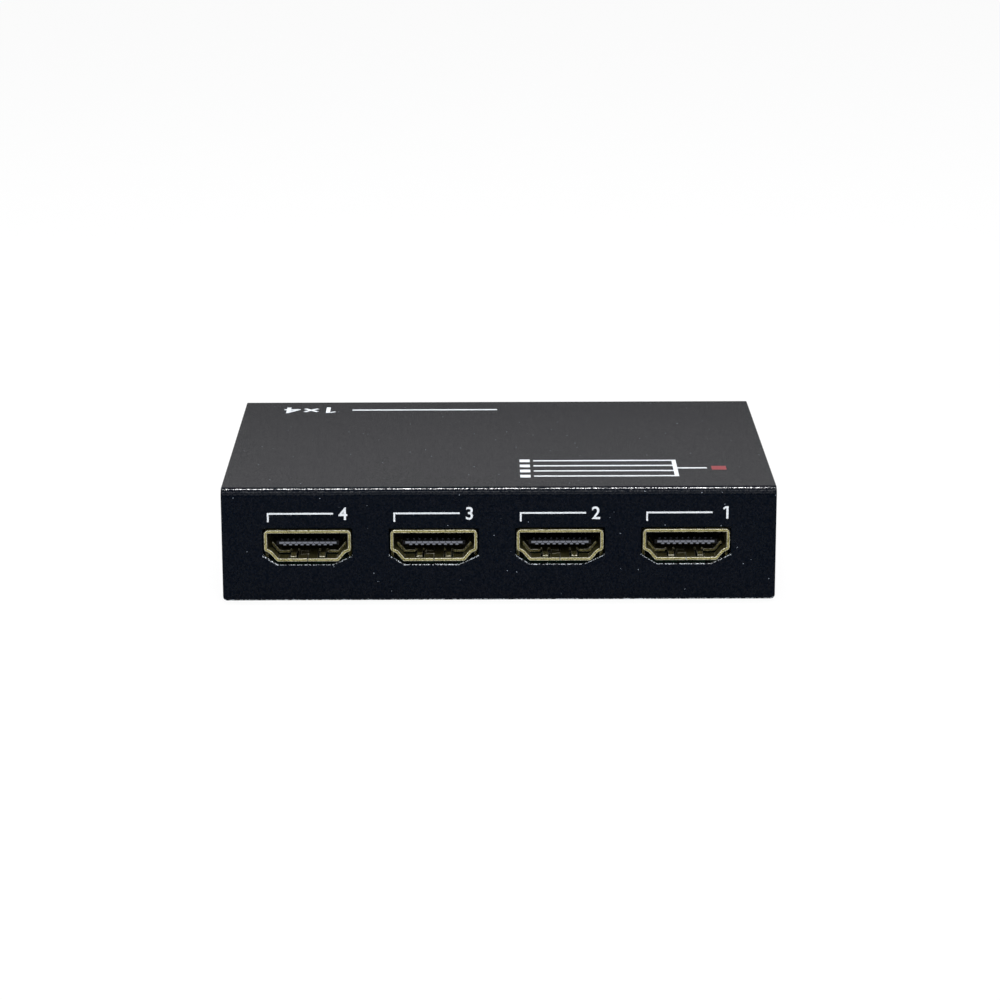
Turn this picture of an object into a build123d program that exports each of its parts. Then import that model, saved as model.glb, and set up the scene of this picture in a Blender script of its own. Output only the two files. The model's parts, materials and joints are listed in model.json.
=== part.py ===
from build123d import *
import os

# A four-way video splitter in a folded sheet-metal case. Millimetres, +Z up.
# The origin lies under the middle of the case. The four output receptacles face -Y,
# the input receptacle, the power jack and the indicator lights face +Y.

# Case: a folded cover over a folded chassis
case_width = 96.0
case_depth = 66.0
case_height = 20.2
sheet = 0.8
bend_radius = 1.5
flange_corner_radius = 0.7
cover_lift = 0.1
side_inset = 0.2
fold_gap = 0.15
overrun = 1.0

# Receptacle shell: the stamped metal skin of each video socket
output_count = 4
port_side_inset = 15.225
port_row_shift = -0.35
port_protrusion = 0.5
shell_width = 15.0
shell_height = 5.55
shell_wall = 0.5
shell_length = 11.9
shell_side_drop = 3.6
shell_shoulder_in = 1.0
shell_shoulder_drop = 0.5
shell_foot_width = 10.6
shell_top_radius = 0.8
shell_low_radius = 0.55
shell_seat_gap = 0.12
seam_width = 0.1
seam_key_reach = 1.4
seam_key_flare = 0.5
seam_key_length = 2.4
seam_key_depth = 4.0

# Spring fingers, cut out of the shell and bent into its mouth
finger_offset = 2.5
finger_width = 1.0
finger_thickness = 0.3
finger_tip_depth = 0.9
finger_crest_depth = 1.9
finger_bend_depth = 4.6
finger_root_depth = 6.4
finger_crest_rise = 0.55
finger_tip_rise = 0.2
finger_slot_gap = 0.3

# Board legs, bent straight down out of the shell's lower corners
leg_depths = (4.15, 9.7)
leg_width = 1.7
leg_relief = 0.5
leg_root = 1.0
leg_stickout = 0.7
leg_slot_gap = 0.15
corner_window_inner = 3.1

# Receptacle insulator and contacts
cavity_depth = 9.0
insulator_gap = 0.05
insulator_length = 3.3
tongue_width = 10.9
tongue_thickness = 0.85
tongue_height = 0.2
tongue_recess = 1.35
contact_pitch = 1.0
upper_contact_count = 10
lower_contact_count = 9
contact_width = 0.38
contact_thickness = 0.3
contact_proud = 0.05
contact_gap = 0.02
tail_run = 0.65
foot_length = 1.25

# Receptacle openings in the front and rear panels
opening_side_gap = 0.2
opening_top_gap = 0.15
opening_bottom_gap = 0.7
opening_flat_width = 9.5
opening_flat_shift = -0.4
opening_slope_rise = 1.6

# Circuit board and what fastens it: flat-headed screws from below, spacers and pillars
board_thickness = 1.6
board_side_gap = 1.0
board_end_gap = 0.8
board_corner_cut = 1.2
fastener_side_inset = 4.5
fastener_front_inset = 14.4
fastener_rear_inset = 6.4
thread_radius = 1.5
thread_gap = 0.05
thread_reach = 5.5
screw_hole_gap = 0.2
screw_head_radius = 2.6
screw_head_gap = 0.1
screw_flush = 0.05
hexagon_across_flats = 5.5
pillar_bore_depth = 7.0

# Power jack
input_place = 8.0
jack_side_inset = 17.0
jack_protrusion = 0.4
jack_width = 9.0
jack_head_gap = 1.195
jack_flange_depth = 3.4
jack_length = 14.2
jack_bore_radius = 3.15
jack_bore_depth = 10.0
jack_bore_drop = 4.5
jack_opening_gap = 0.2
jack_corner_cut = 0.8
jack_pin_radius = 1.05
jack_pin_root_radius = 1.4
jack_pin_recess = 0.8
jack_pin_tip_cut = 0.4
jack_strip_thickness = 0.4
jack_tab_width = 2.4
jack_tab_rise = 1.6
jack_spring_width = 2.2
jack_spring_start = 3.6
jack_spring_end = 8.0
jack_spring_crest_depth = 4.8
jack_spring_rise = 0.5
jack_groove_gap = 0.1
through_stickout = 0.8
through_gap = 0.2

# Power light
light_place = -13.0
light_height = 4.0
light_radius = 1.5
light_nose_cut = 0.6
light_protrusion = 0.4
light_length = 5.3
light_rim_radius = 1.9
light_rim_length = 1.0
light_hole_gap = 0.1
light_wire = 0.5
light_wire_spacing = 2.54
light_wire_run = 0.6
light_wire_gap = 0.1
holder_width = 4.4
holder_thickness = 1.5
holder_cap = 2.2
holder_corner_cut = 0.4

# Chip packages and their leads
lead_width = 0.4
lead_thickness = 0.2
lead_run = 0.3
lead_foot = 0.6
chip_edge_cut = 0.3
splitter_chip_size = 10.0
splitter_chip_height = 1.0
controller_length = 9.9
controller_width = 3.9
controller_height = 1.5
controller_leads_per_side = 7
controller_lead_pitch = 1.27
memory_length = 3.0
memory_width = 2.0
memory_height = 0.8
regulator_length = 6.5
regulator_width = 3.5
regulator_height = 1.6
regulator_lead_count = 3
regulator_lead_pitch = 2.3
splitter_chip_shares = (-0.02, -0.05)
controller_shares = (-0.27, 0.03)
memory_places_shares = ((0.09, 0.17), (-0.13, 0.2))
regulator_places_shares = ((0.26, 0.1), (0.4, 0.06))

# Coil, capacitors, crystal and small parts
coil_size = 6.0
coil_height = 3.0
coil_corner_cut = 1.0
coil_shares = (0.18, -0.07)
can_radius = 3.15
can_height = 6.4
can_edge_cut = 0.4
can_base_size = 6.6
can_base_height = 0.9
can_base_corner_cut = 1.3
can_places_shares = ((0.32, -0.1),)
crystal_length = 5.0
crystal_width = 3.2
crystal_base_height = 0.7
crystal_lid_inset = 0.4
crystal_lid_height = 0.4
crystal_shares = (-0.14, 0.08)
fuse_length = 3.2
fuse_width = 1.6
fuse_height = 0.9
fuse_shares = (0.34, 0.23)
diode_length = 4.4
diode_width = 2.6
diode_height = 2.1
diode_shares = (0.24, 0.23)
array_length = 2.5
array_width = 1.0
array_height = 0.6
array_offset = 2.6
array_setback = 2.2
resistor_length = 1.6
resistor_width = 0.8
resistor_height = 0.5
resistors_per_port = 4
resistor_pitch = 2.0
resistor_setback = 4.6
capacitor_length = 1.6
capacitor_width = 0.8
capacitor_height = 0.9
capacitor_setback = 2.0
capacitors_per_side = 4
capacitor_pitch = 2.6

# Worked out from the sizes above
upright = (Align.CENTER, Align.CENTER, Align.MIN)
hanging = (Align.CENTER, Align.CENTER, Align.MAX)
front_face = -case_depth / 2
rear_face = case_depth / 2
ceiling = case_height - sheet
port_height = case_height / 2
port_pitch = (case_width - 2 * port_side_inset) / (output_count - 1)
board_top = port_height - shell_height / 2 - shell_seat_gap
board_underside = board_top - board_thickness
board_width = case_width - 2 * (side_inset + sheet + board_side_gap)
board_depth = case_depth - 2 * (sheet + board_end_gap)
shell_top = shell_height / 2
shoulder_height = shell_top - shell_side_drop
seat_height = -shell_top - shell_seat_gap
insulator_end = cavity_depth + insulator_length
first_output = case_width / 2 - port_side_inset + port_row_shift
output_places = [first_output - port_pitch * n for n in range(output_count)]
jack_place = case_width / 2 - jack_side_inset
jack_height = ceiling - board_top - jack_head_gap
jack_bore_height = jack_height - jack_bore_drop
light_back = rear_face + light_protrusion - light_length
fastener_places = [
    (side * (board_width / 2 - fastener_side_inset), y)
    for side in (-1, 1)
    for y in (fastener_front_inset - board_depth / 2, board_depth / 2 - fastener_rear_inset)
]


# Helpers for folded strips, rows and places on the board
def strip(points, thickness, width):
    """Flat strip bent along points in the YZ plane, thick to the left of its path."""
    path = Polyline(*points)
    band = make_face(offset(path, amount=thickness, side=Side.LEFT, kind=Kind.INTERSECTION, closed=True))
    return extrude(Plane.YZ * band, amount=width / 2, both=True)


def row(count, pitch):
    """Places of a centred row."""
    return [(n - (count - 1) / 2) * pitch for n in range(count)]


def place_on_board(shares):
    """Point on the board's upper face, given as shares of its width and depth."""
    return Pos(shares[0] * board_width, shares[1] * board_depth, board_top)


def face_front(x):
    """Seat of a receptacle whose mouth faces -Y."""
    return Pos(x, front_face - port_protrusion, port_height)


def face_rear(x):
    """Seat of a receptacle whose mouth faces +Y."""
    return Pos(x, rear_face + port_protrusion, port_height) * Rot(0, 0, 180)


# Case
def folded_channel(span, rise, length):
    """Sheet channel: its web lies on the XY plane, its flanges rise at both ends of the span."""
    outer = Box(span, length, rise, align=upright)
    outer = fillet(outer.edges().filter_by(Axis.Y).group_by(Axis.Z)[0], bend_radius)
    inner = Box(span - 2 * sheet, length + overrun, rise, align=upright)
    inner = fillet(inner.edges().filter_by(Axis.Y).group_by(Axis.Z)[0], bend_radius - sheet)
    return outer - Pos(0, 0, sheet) * inner


def receptacle_opening():
    """Cutter for one receptacle opening, wider below on one side, as the punch leaves it."""
    half = shell_width / 2 + opening_side_gap
    top = shell_top + opening_top_gap
    bottom = -shell_top - opening_bottom_gap
    left = opening_flat_shift - opening_flat_width / 2
    right = opening_flat_shift + opening_flat_width / 2
    knee = bottom + opening_slope_rise
    points = [(-half, top), (half, top), (half, knee), (right, bottom), (left, bottom), (-half, knee)]
    outline = Plane.XZ * make_face(Polyline(*points, close=True))
    return extrude(outline, amount=port_protrusion + sheet + overrun, both=True)


def top_cover():
    """Front panel, top and rear panel in one folded sheet, open below and at both sides."""
    rise = case_height - cover_lift
    channel = folded_channel(case_depth, rise, case_width)
    cover = Pos(0, 0, case_height) * Rot(0, 0, 90) * Rot(180, 0, 0) * channel
    cover = fillet(cover.edges().filter_by(Axis.Y).group_by(Axis.Z)[0], flange_corner_radius)
    cover -= [face_front(x) * receptacle_opening() for x in output_places]
    cover -= face_rear(input_place) * receptacle_opening()
    cover -= jack_opening()
    cover -= light_opening()
    return cover


def jack_opening():
    """Cutter for the power jack's square opening."""
    width = jack_width + 2 * jack_opening_gap
    height = jack_height + 2 * jack_opening_gap
    cutter = Box(width, 2 * sheet + overrun, height)
    return Pos(jack_place, rear_face, board_top + jack_height / 2) * cutter


def light_opening():
    """Cutter for the power light's round hole."""
    cutter = Cylinder(light_radius + light_hole_gap, 2 * sheet + overrun, rotation=(90, 0, 0))
    return Pos(light_place, rear_face, board_top + light_height) * cutter


def bottom_chassis():
    """Base and both sides in one folded sheet, between the cover's two panels."""
    length = case_depth - 2 * (sheet + fold_gap)
    chassis = folded_channel(case_width - 2 * side_inset, ceiling - fold_gap, length)
    chassis = fillet(chassis.edges().filter_by(Axis.X).group_by(Axis.Z)[-1], bend_radius)
    wide = screw_head_radius + screw_head_gap
    narrow = thread_radius + screw_head_gap
    countersink = Cone(wide, narrow, sheet, align=upright)
    return chassis - [Pos(x, y) * countersink for x, y in fastener_places]


# Fasteners
def case_screw():
    """Long screw from below, its thin conical head flush in the base."""
    shank_radius = thread_radius - thread_gap
    head = Cone(screw_head_radius, shank_radius, sheet - screw_flush, align=upright)
    shank = Cylinder(shank_radius, board_top + thread_reach - sheet, align=upright)
    return Pos(0, 0, screw_flush) * head + Pos(0, 0, sheet) * shank


def hexagon_post(bottom, top, bore_radius, bore_depth):
    """Hexagonal post from one height to another, bored from below."""
    hexagon = RegularPolygon(hexagon_across_flats / 2, 6, major_radius=False)
    post = extrude(hexagon, amount=top - bottom) - Cylinder(bore_radius, bore_depth, align=upright)
    return Pos(0, 0, bottom) * post


def board_spacer():
    """Plain spacer between the base and the board."""
    return hexagon_post(sheet, board_underside, thread_radius + screw_hole_gap, board_underside)


def cover_pillar():
    """Threaded pillar welded under the top plate, standing on the board."""
    return hexagon_post(board_top, ceiling, thread_radius, pillar_bore_depth)


def at_fasteners(solid):
    """One copy at each of the four fastening places."""
    return Compound([Pos(x, y) * solid for x, y in fastener_places])


# Receptacle, drawn with its mouth at the origin, its depth along +Y and its middle at z = 0
def receptacle_outline(inset):
    """Outline of the mouth: flat top, upright sides, then a shoulder down to a narrower foot."""
    half = shell_width / 2
    right = [
        (half, shell_top),
        (half, shoulder_height),
        (half - shell_shoulder_in, shoulder_height - shell_shoulder_drop),
        (shell_foot_width / 2, -shell_top),
    ]
    left = [(-x, z) for x, z in reversed(right)]
    outline = make_face(Polyline(*right, *left, close=True))
    if inset > 0:
        return Plane.XZ * offset(outline, amount=-inset, kind=Kind.INTERSECTION)
    outline = fillet(outline.vertices().group_by(Axis.Y)[-1], shell_top_radius)
    low_corners = [v for v in outline.vertices() if v.Y < shoulder_height + shell_shoulder_drop]
    return Plane.XZ * fillet(low_corners, shell_low_radius)


def spring_finger():
    """Cantilever finger of the shell's floor, rooted deep inside, its tip near the mouth."""
    flat = shell_wall - finger_thickness - shell_top
    points = [
        (finger_tip_depth, flat + finger_tip_rise),
        (finger_crest_depth, flat + finger_crest_rise),
        (finger_bend_depth, flat),
        (finger_root_depth + shell_wall, flat),
    ]
    return strip(points, finger_thickness, finger_width)


def finger_slot():
    """Cutter for the slot round a finger."""
    start = finger_tip_depth - finger_slot_gap
    slot = Box(
        finger_width + 2 * finger_slot_gap,
        finger_root_depth - start,
        2 * shell_wall,
        align=(Align.CENTER, Align.MIN, Align.CENTER),
    )
    return Pos(0, start, shell_wall / 2 - shell_top) * slot


def seam():
    """Cutter for the butt seam along the shell's floor, locked by a dovetail key."""
    near = seam_key_depth - seam_key_length / 2
    far = seam_key_depth + seam_key_length / 2
    middle = seam_width / 2
    run = [
        (0, -overrun),
        (0, near + seam_key_flare),
        (-seam_key_reach, near),
        (-seam_key_reach, far),
        (0, far - seam_key_flare),
        (0, shell_length + overrun),
    ]
    path = Polyline(*run)
    band = make_face(offset(path, amount=seam_width, side=Side.LEFT, kind=Kind.INTERSECTION, closed=True))
    return Pos(middle, 0, -shell_top - shell_wall / 2) * extrude(band, amount=2 * shell_wall)


def corner_window(depth):
    """Cutter for the gap that a board leg leaves in the shell's lower corner."""
    width = shell_width / 2 - corner_window_inner + overrun
    height = shoulder_height + shell_top + overrun
    window = Box(width, leg_width + 2 * leg_relief, height, align=(Align.MIN, Align.CENTER, Align.MAX))
    return Pos(corner_window_inner, depth, shoulder_height) * window


def board_leg(depth):
    """Leg from the shell's side wall down through the board."""
    length = leg_root + shoulder_height - seat_height + board_thickness + leg_stickout
    leg = Box(shell_wall, leg_width, length, align=(Align.MAX, Align.CENTER, Align.MAX))
    return Pos(shell_width / 2, depth, shoulder_height + leg_root) * leg


def both_sides(solid):
    """The solid and its mirror image across the receptacle's middle."""
    return [solid, mirror(solid, about=Plane.YZ)]


def receptacle_shell():
    """Stamped shell: a seamed tube with spring fingers, corner windows and four board legs."""
    outer = extrude(receptacle_outline(0), amount=-shell_length)
    inner = extrude(receptacle_outline(shell_wall), amount=-shell_length - overrun)
    shell = outer - inner
    shell -= seam()
    for depth in leg_depths:
        shell -= both_sides(corner_window(depth))
        shell += both_sides(board_leg(depth))
    for side in (-1, 1):
        slot = Pos(side * finger_offset, 0) * finger_slot()
        finger = Pos(side * finger_offset, 0) * spring_finger()
        shell -= [slot, mirror(slot, about=Plane.XY)]
        shell += [finger, mirror(finger, about=Plane.XY)]
    return shell


def contact_rows():
    """Across-places and height of the contacts in the upper row and in the lower row."""
    half = tongue_thickness / 2 + contact_proud
    upper = (row(upper_contact_count, contact_pitch), tongue_height + half - contact_thickness)
    lower = (row(lower_contact_count, contact_pitch), tongue_height - half)
    return [upper, lower]


def receptacle_insulator():
    """Black moulding: a block that closes the shell and the grooved tongue that carries the contacts."""
    snug = receptacle_outline(shell_wall + insulator_gap)
    block = Pos(0, cavity_depth) * extrude(snug, amount=-insulator_length)
    length = cavity_depth - tongue_recess
    tongue = Box(tongue_width, length, tongue_thickness, align=(Align.CENTER, Align.MIN, Align.CENTER))
    moulding = block + Pos(0, tongue_recess, tongue_height) * tongue
    height = contact_thickness + 2 * contact_gap
    width = contact_width + 2 * contact_gap
    along = (Align.CENTER, Align.MIN, Align.MIN)
    for places, level in contact_rows():
        groove = Pos(0, 0, level - contact_gap) * Box(width, cavity_depth, height, align=along)
        moulding -= [Pos(x, 0) * groove for x in places]
        passage = Box(places[-1] - places[0] + width, insulator_length + overrun, height, align=along)
        moulding -= Pos(0, cavity_depth, level - contact_gap) * passage
    return moulding


def receptacle_contact(level):
    """One contact: along the tongue, down behind the block and out to a foot on the board."""
    bend = insulator_end + tail_run - contact_thickness
    points = [(tongue_recess, level), (bend, level), (bend, seat_height), (bend + foot_length, seat_height)]
    return strip(points, contact_thickness, contact_width)


def receptacle_contacts():
    """All nineteen contacts of a receptacle."""
    contacts = []
    for places, level in contact_rows():
        contacts += [Pos(x, 0) * receptacle_contact(level) for x in places]
    return Compound(contacts)


# Power jack, drawn with its face at the origin, its depth along +Y and the board at z = 0
def jack_housing():
    """Moulded body: a square flange, a half-round barrel and the bore for the plug."""
    flange = Box(jack_width, jack_flange_depth, jack_height, align=(Align.CENTER, Align.MIN, Align.MIN))
    flange = chamfer(flange.edges().filter_by(Axis.Y).group_by(Axis.Z)[-1], jack_corner_cut)
    base = Box(jack_width, jack_length, jack_bore_height, align=(Align.CENTER, Align.MIN, Align.MIN))
    barrel = Cylinder(jack_width / 2, jack_length, rotation=(-90, 0, 0), align=upright)
    bore = Cylinder(jack_bore_radius, jack_bore_depth, rotation=(-90, 0, 0), align=upright)
    pin_hole = Cylinder(jack_pin_root_radius, jack_length, rotation=(-90, 0, 0), align=upright)
    body = flange + base + Pos(0, 0, jack_bore_height) * barrel
    return body - Pos(0, 0, jack_bore_height) * (bore + pin_hole) - jack_groove()


def jack_groove():
    """Cutter for the channel that holds the sleeve spring."""
    floor = jack_bore_height - jack_bore_radius - jack_strip_thickness - jack_groove_gap
    width = jack_spring_width + 2 * jack_groove_gap
    start = jack_spring_start - jack_groove_gap
    end = jack_spring_end + jack_groove_gap
    along = Box(width, end - start, jack_bore_height - floor, align=(Align.CENTER, Align.MIN, Align.MIN))
    gap = jack_strip_thickness + 2 * jack_groove_gap
    shaft = Box(width, gap, floor + overrun, align=(Align.CENTER, Align.MAX, Align.MAX))
    return Pos(0, start, floor) * along + Pos(0, end, floor) * shaft


def jack_pin():
    """Centre pin, pressed through the back wall, with its flat terminal down through the board."""
    pin = Cylinder(jack_pin_radius, jack_bore_depth - jack_pin_recess, rotation=(-90, 0, 0), align=upright)
    pin = chamfer(pin.edges().group_by(Axis.Y)[0], jack_pin_tip_cut)
    root_length = jack_length - jack_bore_depth
    root = Cylinder(jack_pin_root_radius, root_length, rotation=(-90, 0, 0), align=upright)
    pin = Pos(0, jack_pin_recess) * pin + Pos(0, jack_bore_depth) * root
    top = jack_bore_height + jack_tab_rise
    length = top + board_thickness + through_stickout
    tab = Box(jack_tab_width, jack_strip_thickness, length, align=(Align.CENTER, Align.MIN, Align.MAX))
    return Pos(0, 0, jack_bore_height) * pin + Pos(0, jack_length, top) * tab


def jack_spring():
    """Sleeve spring: a raised crest in the bore and a terminal down through the board."""
    floor = jack_bore_height - jack_bore_radius - jack_strip_thickness
    bottom = -board_thickness - through_stickout
    bend = jack_spring_end - jack_strip_thickness
    points = [
        (jack_spring_start, floor),
        (jack_spring_crest_depth, floor + jack_spring_rise),
        (bend - jack_strip_thickness, floor),
        (bend, floor),
        (bend, bottom),
    ]
    return strip(points, jack_strip_thickness, jack_spring_width)


def seat_jack(solid):
    """Place a piece of the power jack in the rear panel."""
    return Pos(jack_place, rear_face + jack_protrusion, board_top) * Rot(0, 0, 180) * solid


# Power light, drawn with its back at the origin, its nose along +Y and the board at z = 0
def light():
    """Round light with a drawn-in nose and a rim at its back."""
    nose = Cylinder(light_radius, light_length, rotation=(-90, 0, 0), align=upright)
    nose = chamfer(nose.edges().group_by(Axis.Y)[-1], light_nose_cut)
    rim = Cylinder(light_rim_radius, light_rim_length, rotation=(-90, 0, 0), align=upright)
    return Pos(0, 0, light_height) * (nose + rim)


def light_holder():
    """Upright plate behind the light, standing on the board, with a hole for each wire."""
    height = light_height + holder_cap
    plate = Box(holder_width, holder_thickness, height, align=(Align.CENTER, Align.MAX, Align.MIN))
    plate = chamfer(plate.edges().filter_by(Axis.Y).group_by(Axis.Z)[-1], holder_corner_cut)
    side = light_wire + light_wire_gap
    hole = Pos(0, -holder_thickness / 2, light_height) * Box(side, holder_thickness + overrun, side)
    return plate - [Pos(x, 0) * hole for x in row(2, light_wire_spacing)]


def light_wires():
    """Two wires through the holder, bent down behind it and through the board."""
    bend = -holder_thickness - light_wire_run
    middle = light_height - light_wire / 2
    points = [(bend, -board_thickness - through_stickout), (bend, middle), (0, middle)]
    wire = strip(points, light_wire, light_wire)
    return Compound([Pos(x, 0) * wire for x in row(2, light_wire_spacing)])


def seat_light(solid):
    """Place a piece of the power light behind the rear panel."""
    return Pos(light_place, light_back, board_top) * solid


# Circuit board, cut with its upper face at z = 0
def through_cut(width, depth):
    """Cutter for a slot right through the board."""
    return Pos(0, 0, -board_thickness / 2) * Box(width, depth, board_thickness + overrun)


def leg_slots():
    """Cutters for the four legs of a receptacle, drawn about its mouth."""
    slot = through_cut(shell_wall + 2 * leg_slot_gap, leg_width + 2 * leg_slot_gap)
    across = (shell_width - shell_wall) / 2
    return [Pos(side * across, depth) * slot for side in (-1, 1) for depth in leg_depths]


def terminal_slots():
    """Cutters for the terminals of the power jack and the wires of the light."""
    depth = jack_strip_thickness + 2 * through_gap
    pin_slot = through_cut(jack_tab_width + 2 * through_gap, depth)
    spring_slot = through_cut(jack_spring_width + 2 * through_gap, depth)
    wire_hole = through_cut(light_wire + 2 * through_gap, light_wire + 2 * through_gap)
    wire_depth = -holder_thickness - light_wire_run - light_wire / 2
    slots = [
        seat_jack(Pos(0, jack_length + jack_strip_thickness / 2) * pin_slot),
        seat_jack(Pos(0, jack_spring_end - jack_strip_thickness / 2) * spring_slot),
    ]
    slots += [seat_light(Pos(x, wire_depth) * wire_hole) for x in row(2, light_wire_spacing)]
    return slots


def circuit_board():
    """Glass-fibre board with its screw holes, leg slots and terminal slots."""
    board = Box(board_width, board_depth, board_thickness, align=hanging)
    board = chamfer(board.edges().filter_by(Axis.Z), board_corner_cut)
    through = board_thickness + 2 * overrun
    hole = Pos(0, 0, overrun) * Cylinder(thread_radius + screw_hole_gap, through, align=hanging)
    board -= [Pos(x, y) * hole for x, y in fastener_places]
    board = Pos(0, 0, board_top) * board
    drop = Pos(0, 0, board_top - port_height)
    for seat in [face_front(x) for x in output_places] + [face_rear(input_place)]:
        board -= [seat * drop * slot for slot in leg_slots()]
    return board - terminal_slots()


# Parts on the board
def block(length, width, height):
    """Plain moulded or ceramic block."""
    return Box(length, width, height, align=upright)


def chip_body(length, width, height):
    """Moulded package, its upper edges drawn in."""
    body = block(length, width, height)
    return chamfer(body.edges().group_by(Axis.Z)[-1], chip_edge_cut)


def gull_lead(reach, height):
    """Lead that leaves a package at mid height and steps down to the board, along +Y."""
    knee = reach + lead_run
    level = height / 2
    points = [(reach, level), (knee, level), (knee, 0), (knee + lead_foot, 0)]
    return strip(points, lead_thickness, lead_width)


def lead_row(count, pitch, reach, height, turn):
    """Row of leads on one side of a package, turned about it in degrees."""
    return [Rot(0, 0, turn) * Pos(x, 0) * gull_lead(reach, height) for x in row(count, pitch)]


def chip_leads():
    """Leads of the controller and of the voltage regulators."""
    leads = []
    for turn in (0, 180):
        side = lead_row(
            controller_leads_per_side, controller_lead_pitch, controller_width / 2, controller_height, turn
        )
        leads += [place_on_board(controller_shares) * lead for lead in side]
    half = regulator_width / 2
    regulator = lead_row(regulator_lead_count, regulator_lead_pitch, half, regulator_height, 180)
    for shares in regulator_places_shares:
        leads += [place_on_board(shares) * lead for lead in regulator]
    return Compound(leads)


def power_coil():
    """Shielded coil, a square block with cut corners."""
    coil = block(coil_size, coil_size, coil_height)
    return chamfer(coil.edges().filter_by(Axis.Z), coil_corner_cut)


def electrolytic_can():
    """Aluminium can with a drawn-in top, standing in its moulded base."""
    can = Cylinder(can_radius, can_height, align=upright)
    can = chamfer(can.edges().group_by(Axis.Z)[-1], can_edge_cut)
    return Pos(0, 0, can_base_height) * can


def electrolytic_base():
    """Square base with two cut corners on the marked side."""
    base = block(can_base_size, can_base_size, can_base_height)
    return chamfer(base.edges().filter_by(Axis.Z).group_by(Axis.X)[-1], can_base_corner_cut)


def clock_crystal():
    """Flat ceramic package with a metal lid."""
    lid_length = crystal_length - 2 * crystal_lid_inset
    lid_width = crystal_width - 2 * crystal_lid_inset
    lid = block(lid_length, lid_width, crystal_lid_height)
    return block(crystal_length, crystal_width, crystal_base_height) + Pos(0, 0, crystal_base_height) * lid


def behind_outputs(setback, offsets, solid):
    """Copies of a small part in a row behind the contact feet of each output."""
    feet_end = front_face - port_protrusion + insulator_end + tail_run + foot_length
    y = feet_end + setback
    return Compound([Pos(place + x, y, board_top) * solid for place in output_places for x in offsets])


def chip_capacitors():
    """Ceramic capacitors in a row on each side of the splitter chip."""
    reach = splitter_chip_size / 2 + capacitor_setback
    capacitor = block(capacitor_length, capacitor_width, capacitor_height)
    places = []
    for turn in (0, 90, 180, 270):
        places += [Rot(0, 0, turn) * Pos(x, reach) for x in row(capacitors_per_side, capacitor_pitch)]
    return Compound([place_on_board(splitter_chip_shares) * place * capacitor for place in places])


def on_board(places_shares, solid):
    """Copies of a part at the given places on the board."""
    return Compound([place_on_board(shares) * solid for shares in places_shares])


# Every node by its name
def case_nodes():
    """The folded case, the board and what fastens them."""
    return {
        "top_cover": top_cover(),
        "bottom_chassis": bottom_chassis(),
        "circuit_board": circuit_board(),
        "case_screws": at_fasteners(case_screw()),
        "board_spacers": at_fasteners(board_spacer()),
        "cover_pillars": at_fasteners(cover_pillar()),
    }


def receptacle_nodes():
    """Shell, insulator and contacts of the four outputs and the input."""
    shell = receptacle_shell()
    insulator = receptacle_insulator()
    contacts = receptacle_contacts()
    seats = {f"output_{n + 1}": face_front(x) for n, x in enumerate(output_places)}
    seats["input"] = face_rear(input_place)
    nodes = {}
    for name, seat in seats.items():
        nodes[f"{name}_shell"] = seat * shell
        nodes[f"{name}_insulator"] = seat * insulator
        nodes[f"{name}_contacts"] = seat * contacts
    return nodes


def power_nodes():
    """The power jack, its light and the parts that feed the board."""
    return {
        "power_jack_housing": seat_jack(jack_housing()),
        "power_jack_pin": seat_jack(jack_pin()),
        "power_jack_spring": seat_jack(jack_spring()),
        "power_light": seat_light(light()),
        "light_holder": seat_light(light_holder()),
        "light_wires": seat_light(light_wires()),
        "input_fuse": on_board([fuse_shares], block(fuse_length, fuse_width, fuse_height)),
        "input_diode": on_board([diode_shares], block(diode_length, diode_width, diode_height)),
        "voltage_regulators": on_board(
            regulator_places_shares, chip_body(regulator_length, regulator_width, regulator_height)
        ),
        "power_coil": on_board([coil_shares], power_coil()),
        "electrolytic_cans": on_board(can_places_shares, electrolytic_can()),
        "electrolytic_bases": on_board(can_places_shares, electrolytic_base()),
    }


def signal_nodes():
    """The chips and small parts that split the signal."""
    array = block(array_length, array_width, array_height)
    resistor = block(resistor_width, resistor_length, resistor_height)
    return {
        "splitter_chip": on_board(
            [splitter_chip_shares], chip_body(splitter_chip_size, splitter_chip_size, splitter_chip_height)
        ),
        "controller_chip": on_board(
            [controller_shares], chip_body(controller_length, controller_width, controller_height)
        ),
        "memory_chips": on_board(memory_places_shares, chip_body(memory_length, memory_width, memory_height)),
        "chip_leads": chip_leads(),
        "clock_crystal": on_board([crystal_shares], clock_crystal()),
        "surge_arrays": behind_outputs(array_setback, row(2, 2 * array_offset), array),
        "chip_resistors": behind_outputs(resistor_setback, row(resistors_per_port, resistor_pitch), resistor),
        "chip_capacitors": chip_capacitors(),
    }


os.makedirs("parts", exist_ok=True)
nodes = case_nodes() | receptacle_nodes() | power_nodes() | signal_nodes()
for node_name, node in nodes.items():
    export_step(node, f"parts/{node_name}.step")
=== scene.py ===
"""Four-way video splitter in folded sheet metal, dressed for a plain studio picture.

Lengths in the classes are millimetres, and MM turns them into Blender's metres. The frame has +X across
the output sockets, +Y from them to the rear panel and +Z up, with its origin under the middle of the case.
"""
import json
import logging
import math
from collections.abc import Callable
from dataclasses import dataclass
from enum import Enum

import bmesh
import bpy
from mathutils import Matrix, Vector
from mathutils.geometry import tessellate_polygon


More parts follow.
